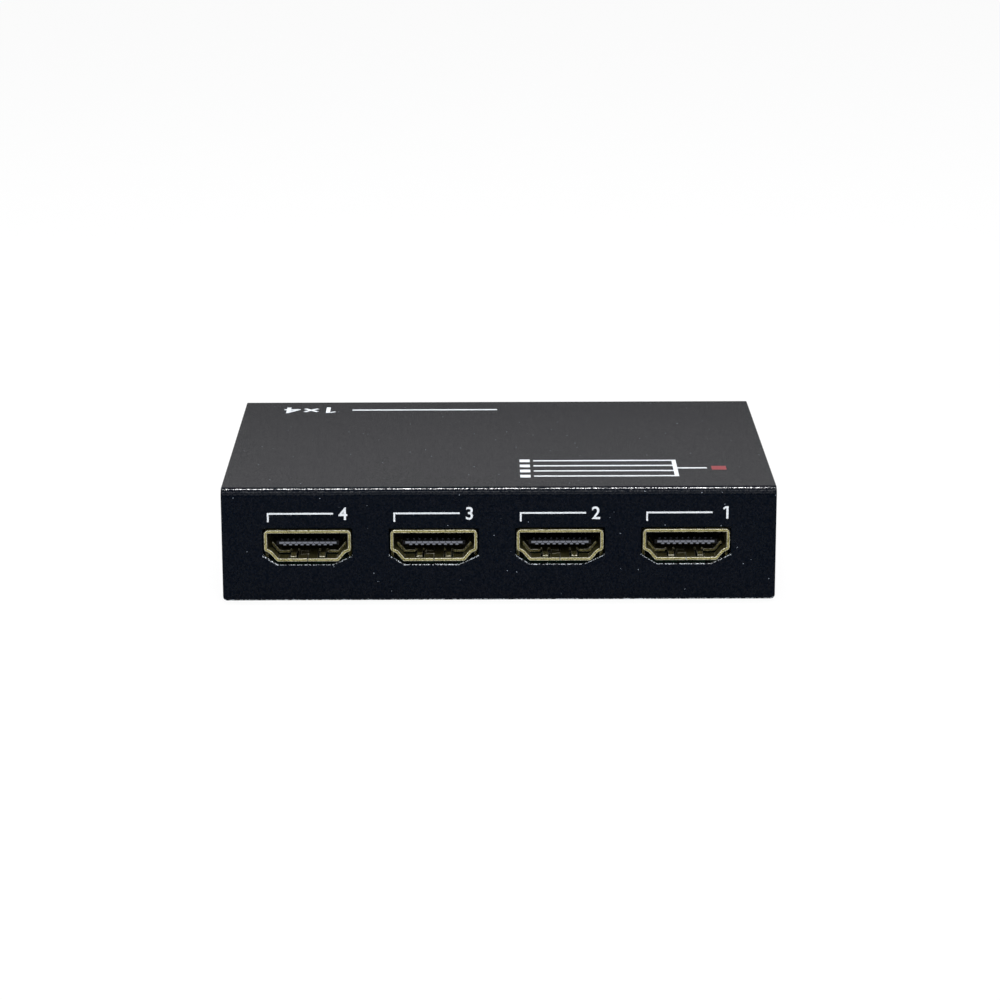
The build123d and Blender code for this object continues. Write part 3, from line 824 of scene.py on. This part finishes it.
@dataclass
class FoldedChassis(FoldedSheet):
    """Base with its countersunk screw holes and both sides, folded from one sheet."""

    name: str = "folded_chassis"
    node: str = "bottom_chassis"
    edge_rounding: float = 0.12
    half_width: float = 47.8
    half_length: float = 32.05
    height: float = 19.25
    bend_steps: int = 8
    hole_places: tuple[Point2, ...] = ((-41.5, -17.0), (-41.5, 25.0), (41.5, 25.0), (41.5, -17.0))
    hole_wide: float = 2.7
    hole_narrow: float = 1.6
    hole_steps: int = 32

    def base_side(self, radius: float, level: float) -> tuple[list[Outline], Matrix]:
        """Outline one side of the base.

        Args:
            radius: Radius of the screw holes on this side.
            level: Its height.

        Returns:
            Its outlines and its place.
        """
        x, y = self.half_width - self.bend, self.half_length
        holes = [arc(place, radius, 0.0, FULL_TURN, self.hole_steps) for place in self.hole_places]
        return [[(-x, -y), (x, -y), (x, y), (-x, y)], *holes], Matrix.Translation((0.0, 0.0, level))

    def add_side(self, shape: Shape, side: int) -> None:
        """Add one upright side with the bend under it.

        Args:
            shape: The mesh that takes the side.
            side: 1 for the right, -1 for the left.
        """
        y, top = self.half_length - self.bend, self.height - self.bend
        border = [(-self.half_length, self.bend), (self.half_length, self.bend)]
        for middle, start in ((y, 0.0), (-y, 90.0)):
            border += arc((middle, top), self.bend, start, 90.0, self.bend_steps)
        skins = []
        for x in (self.half_width, self.half_width - self.sheet):
            skins.append(([border], Matrix(((0, 0, 1, side * x), (1, 0, 0, 0), (0, 1, 0, 0), (0, 0, 0, 1)))))
        self.add_plate(shape, skins, {0})
        inset = (self.half_width - self.bend, self.bend)
        lines = []
        for radius in (self.bend, self.bend - self.sheet):
            lines.append([(side * x, z) for x, z in arc(inset, radius, -90.0, 90.0, self.bend_steps)])
        place = Matrix(((1, 0, 0, 0), (0, 0, 1, 0), (0, 1, 0, 0), (0, 0, 0, 1)))
        self.add_fold(shape, lines, self.half_length, place)

    def add_parts(self, shape: Shape) -> None:
        """Add the base and both sides.

        Args:
            shape: The mesh that takes them.
        """
        skins = [self.base_side(self.hole_wide, 0.0), self.base_side(self.hole_narrow, self.sheet)]
        bent_edges = {1, 3}
        self.add_plate(shape, skins, bent_edges)
        for side in (-1, 1):
            self.add_side(shape, side)


@dataclass
class ContactRows:
    """The two offset rows of contact blades of one receptacle, bent down to the board behind it."""

    pitch: float = 1.0
    upper: int = 10
    lower: int = 9
    width: float = 0.38
    thickness: float = 0.3
    proud: float = 0.05
    tongue_height: float = 0.2
    tongue_half: float = 0.425
    start: float = 1.35
    tip_gap: float = 1.1
    straight: float = 2.0
    bend: float = 12.65
    foot: float = 1.25
    seat: float = -2.895
    bend_radius: float = 0.35
    bend_steps: int = 3
    nose_round: float = 0.03
    nose_reach: float = 0.06
    nose_middle: float = 0.09
    nose_rise: float = 0.315
    nose_overlap: float = 0.05
    upper_nose: float = 0.9
    lower_nose: float = 0.5

    def blade_path(self, level: float) -> Outline:
        """Follow one blade's middle from its nose to the end of its foot.

        Args:
            level: Height of the blade's lower face on the tongue.

        Returns:
            Depth and height of each point.
        """
        half, radius = self.thickness / 2, self.bend_radius
        middle, back, low = level + half, self.bend + half, self.seat + half
        down = arc((back - radius, middle - radius), radius, 90.0, -90.0, self.bend_steps)
        out = arc((back + radius, low + radius), radius, 180.0, 90.0, self.bend_steps)
        tip = [(self.start + self.tip_gap, middle), (self.start + self.straight, middle)]
        return [*tip, *down, *out, (self.bend + self.foot, low)]

    def add_blade(self, shape: Shape, level: float) -> None:
        """Add one blade in the middle of the receptacle.

        Args:
            shape: The mesh that takes the blade.
            level: Height of the blade's lower face on the tongue.
        """
        path = self.blade_path(level)
        rings = []
        for number, (y, z) in enumerate(path):
            before = Vector(path[max(number - 1, 0)])
            after = Vector(path[min(number + 1, len(path) - 1)])
            along = (after - before).normalized()
            slim = self.nose_round if number == 0 else 0.0
            half, thick = self.width / 2 - slim, self.thickness / 2 - slim
            corners = ((-half, -thick), (half, -thick), (half, thick), (-half, thick))
            points = [Vector((x, y - along.y * t, z + along.x * t)) for x, t in corners]
            rings.append([shape.verts.new(point * MM) for point in points])
        for first, second in zip(rings, rings[1:]):
            for side in range(4):
                after = (side + 1) % 4
                shape.faces.new([first[side], first[after], second[after], second[side]])
        shape.faces.new(list(reversed(rings[0])))
        shape.faces.new(rings[-1])

    def add_nose(self, shape: Shape, upper: bool) -> None:
        """Add the wider nose that shows at the front of the tongue.

        Args:
            shape: The mesh that takes the nose.
            upper: Whether the blade lies on top of the tongue.
        """
        side, wide = (1, self.upper_nose) if upper else (-1, self.lower_nose)
        middle = self.nose_middle + side * (self.nose_rise - self.nose_overlap) / 2
        size = Matrix.Diagonal((wide, 2 * self.nose_reach, self.nose_rise + self.nose_overlap, 1 / MM)) * MM
        place = Matrix.Translation((0, self.start * MM, middle * MM))
        bmesh.ops.create_cube(shape, size=1.0, matrix=place @ size)

    def lay_points(self, wiring: Wiring, given: dict[str, Socket]) -> Socket:
        """Add the nodes for evenly spaced points, centred on the socket's middle.

        Args:
            wiring: The tree's nodes.
            given: Its inputs by name.

        Returns:
            The points.
        """
        reach = wiring.maths("MULTIPLY", wiring.maths("SUBTRACT", given["Count"], 1.0), given["Pitch"])
        first = wiring.maths("MULTIPLY", reach, -0.5)
        origin, offset = [wiring.add("ShaderNodeCombineXYZ", {}, {"X": x}) for x in (first, given["Pitch"])]
        places = {"Count": given["Count"], "Start Location": origin.outputs[0], "Offset": offset.outputs[0]}
        return wiring.add("GeometryNodeMeshLine", {"mode": "OFFSET"}, places).outputs[0]

    def row(self, count: int, level: float, metal: Material, tree: Tree) -> Mesh:
        """Repeat a blade along one row.

        Args:
            count: Number of blades.
            level: Height of the blades' lower faces.
            metal: Finish of the blades.
            tree: The node tree that repeats them.

        Returns:
            The row as a plain mesh.
        """
        shape = bmesh.new()
        self.add_blade(shape, level)
        self.add_nose(shape, level > 0)
        bmesh.ops.recalc_face_normals(shape, faces=shape.faces)
        holder = new_piece(shape, "blade_row", metal, False)
        mesh = repeated(holder, tree, {"Count": count, "Pitch": self.pitch * MM, "Finish": metal}).data
        bpy.data.objects.remove(holder)
        return mesh

    def build(self, metal: Material) -> list[Mesh]:
        """Build both rows.

        Args:
            metal: Finish of the blades.

        Returns:
            The upper and the lower row.
        """
        tree = Repeater("contact_row", {"Count": "Int", "Pitch": "Float"}).build(self.lay_points)
        reach = self.tongue_half + self.proud
        levels = (self.tongue_height + reach - self.thickness, self.tongue_height - reach)
        return [self.row(count, level, metal, tree) for count, level in zip((self.upper, self.lower), levels)]


@dataclass
class Receptacle:
    """One video socket: stamped gold shell, black moulding and its contacts."""

    name: str
    place: float
    facing: Facing
    face: float = 33.5
    shell_rounding: float = 0.08
    moulding_rounding: float = 0.06

    def build(self, finishes: dict[str, Material], rows: list[Mesh]) -> None:
        """Build the shell, moulding and contacts, and stand them in for the CAD ones.

        Args:
            finishes: The materials by slot name.
            rows: The contact rows at the origin.
        """
        for part, slot, width in (("shell", "gold_plate", self.shell_rounding),
                                  ("insulator", "insulator_black", self.moulding_rounding)):
            soften_node(f"{self.name}_{part}", width, finishes[slot], slot)
        joined = bmesh.new()
        for row in rows:
            joined.from_mesh(row)
        turn = 0.0 if self.facing is Facing.FRONT else math.pi
        where = Vector((self.place, self.facing.value * self.face, SOCKET_HEIGHT)) * MM
        joined.transform(Matrix.Translation(where) @ Matrix.Rotation(turn, 4, "Z"))
        blades = new_piece(joined, f"{self.name}_blades", finishes["contact_metal"], False)
        stand_in(blades, f"{self.name}_contacts", "contact_metal")


@dataclass
class PrintedMarks:
    """Plain screen-printed marks: a number and a line over each output, and a branching diagram on top."""

    film: float = 0.012
    slanting_film: float = 0.9
    digit_share: float = 0.7
    digit_weight: float = 0.018
    flag_place: Point2 = (0.15, 0.86)
    flag_size: Point2 = (0.28, 0.13)
    flag_turn: float = 40.0
    front: float = -33.0
    roof: float = 20.2
    number_height: float = 2.2
    number_rise: float = 14.65
    number_shift: float = 5.42
    line_ends: Point2 = (-6.95, 4.5)
    line_width: float = 0.3
    tick: float = 1.5
    one_shift: float = 0.85
    diagram_middle: Point2 = (22.0, -19.5)
    diagram_half: Point2 = (18.2, 5.4)
    branch_width: float = 0.75
    branch_start: float = 3.4
    branch_gap: float = 0.6
    trunk_place: float = 9.0
    start_bar: tuple[Point2, Point2] = ((-18.2, -1.3), (-15.6, 1.3))
    end_size: float = 1.8
    ratio_middle: Point2 = (-16.5, 25.3)
    ratio_height: float = 4.4
    ratio_line: tuple[Point2, Point2] = ((-16.5, -0.4), (11.0, 0.4))
    ratio_digits: Point2 = (14.0, 20.9)
    ratio_times: tuple[tuple[Point2, Point2, float], ...] = (
        ((18.8, 0.0), (3.4, 0.7), -45.0), ((18.075, -0.725), (1.35, 0.7), 45.0),
        ((19.525, 0.725), (1.35, 0.7), 45.0))

    def stroke(self, shape: Shape, middle: Point2, size: Point2, turn: float = 0.0) -> None:
        """Add one straight printed stroke.

        Args:
            shape: The mesh that takes the stroke.
            middle: Its middle in the print's plane.
            size: Its length and width.
            turn: Its slant in degrees.
        """
        place = Matrix.Translation((*middle, self.film / 2)) @ Matrix.Rotation(math.radians(turn), 4, "Z")
        thick = self.film * (self.slanting_film if turn else 1.0)
        bmesh.ops.create_cube(shape, size=1.0, matrix=place @ Matrix.Diagonal((*size, thick, 1.0)))

    def bar(self, shape: Shape, low: Point2, high: Point2) -> None:
        """Add one level or upright stroke between two opposite corners."""
        middle = ((low[0] + high[0]) / 2, (low[1] + high[1]) / 2)
        self.stroke(shape, middle, (high[0] - low[0], high[1] - low[1]))

    def digit(self, shape: Shape, number: int, corner: Point2, tall: float) -> None:
        """Add one printed digit. The one gets a flag, which the font leaves out.

        Args:
            shape: The mesh that takes the digit.
            number: The digit.
            corner: Its lower left corner in the print's plane.
            tall: Its height.
        """
        curve = bpy.data.curves.new("digit", "FONT")
        curve.body = str(number)
        curve.size = tall / self.digit_share
        curve.extrude = self.film / 2
        curve.offset = self.digit_weight * tall
        holder = bpy.data.objects.new("digit", curve)
        bpy.context.scene.collection.objects.link(holder)
        mesh = evaluated(holder)
        mesh.transform(Matrix.Translation((*corner, self.film / 2)))
        shape.from_mesh(mesh)
        bpy.data.objects.remove(holder)
        if number == 1:
            middle = Vector(corner) + Vector(self.flag_place) * tall
            self.stroke(shape, middle, Vector(self.flag_size) * tall, self.flag_turn)

    def finish(self, shape: Shape, name: str, place: Matrix, ink: Material) -> None:
        """Place a printed mark on the case.

        Args:
            shape: The mark in its own plane, in millimetres.
            name: Name of the piece.
            place: Where its plane lies, in millimetres.
            ink: Its finish.
        """
        shape.transform(Matrix.Scale(MM, 4) @ place)
        piece = new_piece(shape, name, ink, False)
        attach(piece, "root")

    def legend(self, number: int, place: float) -> Shape:
        """Draw the line, its tick and the number over one output.

        Args:
            number: Number of the output.
            place: Middle of its socket across the case.

        Returns:
            The mark in the front's plane, in millimetres.
        """
        shape = bmesh.new()
        left, right = (place + end for end in self.line_ends)
        middle = self.number_rise + self.number_height / 2
        low, high = middle - self.line_width / 2, middle + self.line_width / 2
        self.bar(shape, (left, low), (right, high))
        self.bar(shape, (left, middle - self.tick), (left + self.line_width, low))
        narrow = self.one_shift if number == 1 else 0.0
        self.digit(shape, number, (place + self.number_shift + narrow, self.number_rise), self.number_height)
        return shape

    def ratio(self) -> Shape:
        """Draw a line and the ratio of one to four, to be read from behind.

        Returns:
            The mark in its own plane, in millimetres.
        """
        shape = bmesh.new()
        self.bar(shape, *self.ratio_line)
        for number, x in zip((1, 4), self.ratio_digits):
            self.digit(shape, number, (x, -self.ratio_height / 2), self.ratio_height)
        for middle, size, turn in self.ratio_times:
            self.stroke(shape, middle, size, turn)
        return shape

    def branches(self) -> Shape:
        """Draw one line that splits into four, each with a square at its end.

        Returns:
            The diagram in its own plane, in millimetres.
        """
        shape = bmesh.new()
        half_x, half_y = self.diagram_half
        half_line = self.branch_width / 2
        near, far = self.trunk_place - half_x - half_line, self.trunk_place - half_x + half_line
        square = half_x - self.end_size
        self.bar(shape, (self.branch_start - half_x, -half_line), (near, half_line))
        self.bar(shape, (near, -half_y - half_line), (far, half_y + half_line))
        for number in range(4):
            level = -half_y + 2 * half_y * number / 3
            self.bar(shape, (far, level - half_line), (square - self.branch_gap, level + half_line))
            self.bar(shape, (square, level - self.end_size / 2), (half_x, level + self.end_size / 2))
        return shape

    def build(self, white: Material, red: Material) -> None:
        """Print every mark.

        Args:
            white: The white ink.
            red: The red ink.
        """
        upright = Matrix.Translation((0, self.front, 0)) @ Matrix.Rotation(math.pi / 2, 4, "X")
        for number, place in enumerate(OUTPUT_PLACES, start=1):
            self.finish(self.legend(number, place), f"output_{number}_mark", upright, white)
        turned = Matrix.Rotation(math.pi, 4, "Z")
        diagram, ratio = (Matrix.Translation((*middle, self.roof)) @ turned
                          for middle in (self.diagram_middle, self.ratio_middle))
        self.finish(self.branches(), "branching_diagram", diagram, white)
        self.finish(self.ratio(), "ratio_mark", ratio, white)
        start = bmesh.new()
        self.bar(start, *self.start_bar)
        self.finish(start, "diagram_start", diagram, red)


@dataclass
class PowerEntry:
    """The rear power jack and the round power light."""

    light_place: Point3 = (-13.0, 0.0, 11.205)
    light_face: float = 33.4
    light_back: float = 28.1
    light_radius: float = 1.5
    rim_radius: float = 1.9
    rim_length: float = 1.0
    dome_steps: int = 8
    steps: int = 36
    housing_rounding: float = 0.12
    pin_rounding: float = 0.06

    def build_light(self, resin: Material) -> None:
        """Turn the light's half outline, a rim, a barrel and a dome, and stand it in for the CAD one.

        Args:
            resin: The tinted resin.
        """
        shape = bmesh.new()
        rim_end = self.light_back + self.rim_length
        points = [(0.0, self.light_back), (self.rim_radius, self.light_back), (self.rim_radius, rim_end),
                  (self.light_radius, rim_end)]
        dome = (0.0, self.light_face - self.light_radius)
        points += arc(dome, self.light_radius, 0.0, 90.0, self.dome_steps)
        line = [shape.verts.new((r * MM, y * MM, 0.0)) for r, y in points]
        edges = [shape.edges.new(pair) for pair in zip(line, line[1:])]
        around = {"cent": (0, 0, 0), "axis": (0, 1, 0), "angle": 2 * math.pi, "steps": self.steps}
        bmesh.ops.spin(shape, geom=line + edges, **around)
        bmesh.ops.remove_doubles(shape, verts=shape.verts, dist=WELD_GAP * MM)
        bmesh.ops.recalc_face_normals(shape, faces=shape.faces)
        shape.transform(Matrix.Translation(Vector(self.light_place) * MM))
        stand_in(new_piece(shape, "power_light_dome", resin), "power_light", "light_red")

    def build(self, finishes: dict[str, Material]) -> None:
        """Build the jack and the light.

        Args:
            finishes: The materials by slot name.
        """
        soften_node("power_jack_housing", self.housing_rounding, finishes["jack_black"], "jack_black")
        soften_node("power_jack_pin", self.pin_rounding, finishes["nickel_brass"], "nickel_brass")
        self.build_light(finishes["light_red"])


@dataclass
class Fasteners:
    """Four long flat-headed screws with a cross recess, flush in the base."""

    grid: Point2 = (83.0, 42.0)
    middle: float = 4.0
    profile: tuple[Point2, ...] = ((2.5, 0.05), (2.6, 0.1), (1.45, 0.8), (1.45, 12.4), (1.2, 12.705))
    cross_reach: float = 1.4
    cross_half: float = 0.33
    cross_depth: float = 1.1
    cross_taper: float = 0.4
    steps: int = 32

    def cross(self, size: float, level: float) -> list[Point3]:
        """Outline the recess at one depth.

        Args:
            size: Its share of the full size.
            level: Its height.

        Returns:
            Its twelve corners.
        """
        corners = []
        for turn in range(4):
            around = Matrix.Rotation(math.pi / 2 * turn, 2)
            for x, y in ((1.0, -1.0), (1.0, 1.0), (self.cross_half / self.cross_reach, 1.0)):
                corner = around @ Vector((x * self.cross_reach * size, y * self.cross_half * size))
                corners.append((corner.x, corner.y, level))
        return corners

    def screw(self) -> Shape:
        """Build one screw on the axis: turned outside, with the recess sunk in its head.

        Returns:
            The screw.
        """
        shape = bmesh.new()
        loops = [[(x, y, z) for x, y in arc((0.0, 0.0), radius, 0.0, FULL_TURN, self.steps)]
                 for radius, z in self.profile]
        face = self.profile[0][1]
        loops += [self.cross(1.0, face), self.cross(self.cross_taper, face + self.cross_depth)]
        rings = [[shape.verts.new(Vector(point) * MM) for point in loop] for loop in loops]
        *outside, mouth, floor = rings
        for first, second in [*zip(outside, outside[1:]), (mouth, floor)]:
            for number, vertex in enumerate(first):
                after = (number + 1) % len(first)
                shape.faces.new([vertex, first[after], second[after], second[number]])
        for end in (outside[-1], floor):
            shape.faces.new(end)
        edges = []
        for ring in (outside[0], mouth):
            edges += [shape.edges.get((ring[number - 1], ring[number])) for number in range(len(ring))]
        bmesh.ops.triangle_fill(shape, edges=edges, use_beauty=True)
        bmesh.ops.recalc_face_normals(shape, faces=shape.faces)
        return shape

    def lay_points(self, wiring: Wiring, given: dict[str, Socket]) -> Socket:
        """Add the nodes for one point in each corner of the grid.

        Args:
            wiring: The tree's nodes.
            given: Its inputs by name.

        Returns:
            The points.
        """
        spans = {"Size X": given["Width"], "Size Y": given["Length"]}
        grid = wiring.add("GeometryNodeMeshGrid", {"Vertices X": 2, "Vertices Y": 2}, spans).outputs[0]
        where = {"Geometry": grid, "Translation": given["Middle"]}
        return wiring.add("GeometryNodeTransform", {}, where).outputs[0]

    def build(self, zinc: Material) -> None:
        """Set the four screws and stand them in for the CAD ones.

        Args:
            zinc: Finish of the screws.
        """
        sizes = {"Width": "Float", "Length": "Float", "Middle": "Vector"}
        tree = Repeater("corner_screws", sizes).build(self.lay_points)
        width, length = self.grid
        values = {"Width": width * MM, "Length": length * MM, "Middle": (0.0, self.middle * MM, 0.0)}
        screw = new_piece(self.screw(), "corner_screws", zinc)
        stand_in(repeated(screw, tree, {**values, "Finish": zinc}), "case_screws", "zinc_steel")


@dataclass
class Dresser:
    """Gives every carried-over CAD node its finish."""

    finishes: dict[str, Material]

    def dress(self) -> None:
        """Assign to each CAD node the finish of its record slot."""
        for part in frame["record"]["subparts"]:
            node = frame["nodes"][part["node"]]
            finish = self.finishes[part["material_slot"]]
            if not node.data.materials:
                node.data.materials.append(finish)
            for slot in node.material_slots:
                slot.material = finish


@dataclass(frozen=True)
class SoftBox:
    """One rectangular lamp that looks at the object, with its power in watts."""

    name: str
    place: Point3
    size: Point2
    power: float
    target: Point3 = (0.0, 0.0, 10.0)

    def hang(self) -> None:
        """Hang the lamp."""
        data = bpy.data.lights.new(self.name, "AREA")
        data.shape = "RECTANGLE"
        data.size, data.size_y = (side * MM for side in self.size)
        data.energy = self.power
        lamp = bpy.data.objects.new(self.name, data)
        lamp.location = Vector(self.place) * MM
        look = (Vector(self.target) - Vector(self.place)) * MM
        lamp.rotation_euler = look.to_track_quat("-Z", "Y").to_euler()
        bpy.context.scene.collection.objects.link(lamp)


@dataclass
class Studio:
    """Pale floor, plain soft light and a camera where the photographer's was."""

    camera_place: Point3 = (-2.61, -559.98, 159.82)
    yaw: float = 0.305
    pitch: float = 15.054
    roll: float = -0.131
    lens: float = 113.875
    sensor: float = 36.0
    clip: Point2 = (0.01, 100.0)
    floor_half: float = 6000.0
    floor_gap: float = 0.03
    floor_colours: tuple[str, str] = ("#e9e9ea", "#f1f1f2")
    floor_grain: float = 25.0
    floor_white: float = 0.93
    floor_roughness: float = 0.9
    floor_specular: float = 0.1
    backdrop_colour: str = "#fffdfb"
    fill_colour: str = "#f4f5f6"
    fill_strength: float = 0.35
    horizon: Point2 = (0.218, 0.262)
    low_backdrop: float = 0.15
    lamps: tuple[SoftBox, ...] = (
        SoftBox("overhead_strip_box", (0.0, 60.0, 700.0), (420.0, 60.0), 5.0),
        SoftBox("front_soft_box", (60.0, -1150.0, 520.0), (700.0, 420.0), 3.0),
        SoftBox("high_soft_box", (0.0, -420.0, 560.0), (420.0, 90.0), 1.8),
        SoftBox("left_soft_box", (-650.0, -420.0, 420.0), (320.0, 420.0), 1.0),
        SoftBox("right_soft_box", (650.0, -380.0, 380.0), (320.0, 420.0), 0.8),
    )

    def add_camera(self) -> None:
        """Create the camera at the photograph's angle."""
        data = bpy.data.cameras.new("camera")
        data.lens = self.lens
        data.sensor_width = self.sensor
        data.clip_start, data.clip_end = self.clip
        camera = bpy.data.objects.new("camera", data)
        camera.matrix_world = Matrix.Translation(Vector(self.camera_place) * MM)
        for angle, axis in ((-self.yaw, "Z"), (90 - self.pitch, "X"), (self.roll, "Z")):
            camera.matrix_world @= Matrix.Rotation(math.radians(angle), 4, axis)
        bpy.context.scene.collection.objects.link(camera)
        bpy.context.scene.camera = camera

    def floor_material(self) -> Material:
        """Make pale paper that keeps the object's shadow and reads as white to the rays that are seen.

        Returns:
            The material.
        """
        material = bpy.data.materials.new("pale_studio_floor")
        material.use_nodes = True
        wiring = Wiring(material.node_tree)
        shader = wiring.tree.nodes["Principled BSDF"]
        colour = wiring.blend(wiring.noise(self.floor_grain, 2.0), *self.floor_colours)
        wiring.tree.links.new(colour, shader.inputs["Base Color"])
        shader.inputs["Roughness"].default_value = self.floor_roughness
        shader.inputs["Specular IOR Level"].default_value = self.floor_specular
        white = wiring.add("ShaderNodeEmission", {"Color": (1.0, 1.0, 1.0, 1.0), "Strength": 1.0}, {})
        share = wiring.maths("MULTIPLY", wiring.seen_rays(), self.floor_white)
        mixed = wiring.add("ShaderNodeMixShader", {}, {0: share, 1: shader.outputs[0], 2: white.outputs[0]})
        wiring.tree.links.new(mixed.outputs[0], wiring.tree.nodes["Material Output"].inputs["Surface"])
        return material

    def add_floor(self) -> None:
        """Lay the floor just below the base."""
        shape = bmesh.new()
        below = Matrix.Translation((0.0, 0.0, -self.floor_gap * MM))
        bmesh.ops.create_grid(shape, x_segments=1, y_segments=1, size=self.floor_half * MM, matrix=below)
        new_piece(shape, "floor", self.floor_material(), False)

    def add_world(self) -> None:
        """Surround the object with white for the camera and mirrors, and a dimmer fill for the rest."""
        world = bpy.data.worlds.new("studio")
        world.use_nodes = True
        wiring = Wiring(world.node_tree)
        fill = wiring.tree.nodes["Background"]
        fill.inputs["Color"].default_value = linear(self.fill_colour)
        fill.inputs["Strength"].default_value = self.fill_strength
        camera = wiring.add("ShaderNodeLightPath", {}, {}).outputs["Is Camera Ray"]
        ahead = wiring.add("ShaderNodeTexCoord", {}, {}).outputs["Generated"]
        height = wiring.add("ShaderNodeSeparateXYZ", {}, {0: ahead}).outputs["Z"]
        level = wiring.maths("MAXIMUM", camera, wiring.spread(height, self.horizon, (self.low_backdrop, 1.0)))
        backdrop = {"Color": linear(self.backdrop_colour)}
        white = wiring.add("ShaderNodeBackground", backdrop, {"Strength": level})
        links = {0: wiring.seen_rays(), 1: fill.outputs[0], 2: white.outputs[0]}
        mixed = wiring.add("ShaderNodeMixShader", {}, links)
        wiring.tree.links.new(mixed.outputs[0], wiring.tree.nodes["World Output"].inputs["Surface"])
        bpy.context.scene.world = world

    def build(self) -> None:
        """Set up the whole studio."""
        bpy.context.scene.view_settings.view_transform = "Standard"
        self.add_camera()
        self.add_floor()
        self.add_world()
        for lamp in self.lamps:
            lamp.hang()
        LOG.info("studio ready")


def main() -> None:
    """Build the studio and every sub-assembly in order."""
    logging.basicConfig(level=logging.INFO, format="%(name)s: %(message)s")
    Studio().build()
    finishes = {slot: finish.build() for slot, finish in FINISHES.items()}
    Dresser(finishes).dress()
    FoldedCover().build(finishes["case_black"])
    FoldedChassis().build(finishes["case_black"])
    rows = ContactRows().build(finishes["contact_metal"])
    for number, place in enumerate(OUTPUT_PLACES, start=1):
        Receptacle(f"output_{number}", place, Facing.FRONT).build(finishes, rows)
    Receptacle("input", INPUT_PLACE, Facing.REAR).build(finishes, rows)
    PowerEntry().build(finishes)
    Fasteners().build(finishes["zinc_steel"])
    PrintedMarks().build(WHITE_INK.build(), RED_INK.build())


if __name__ == "__main__":
    main()
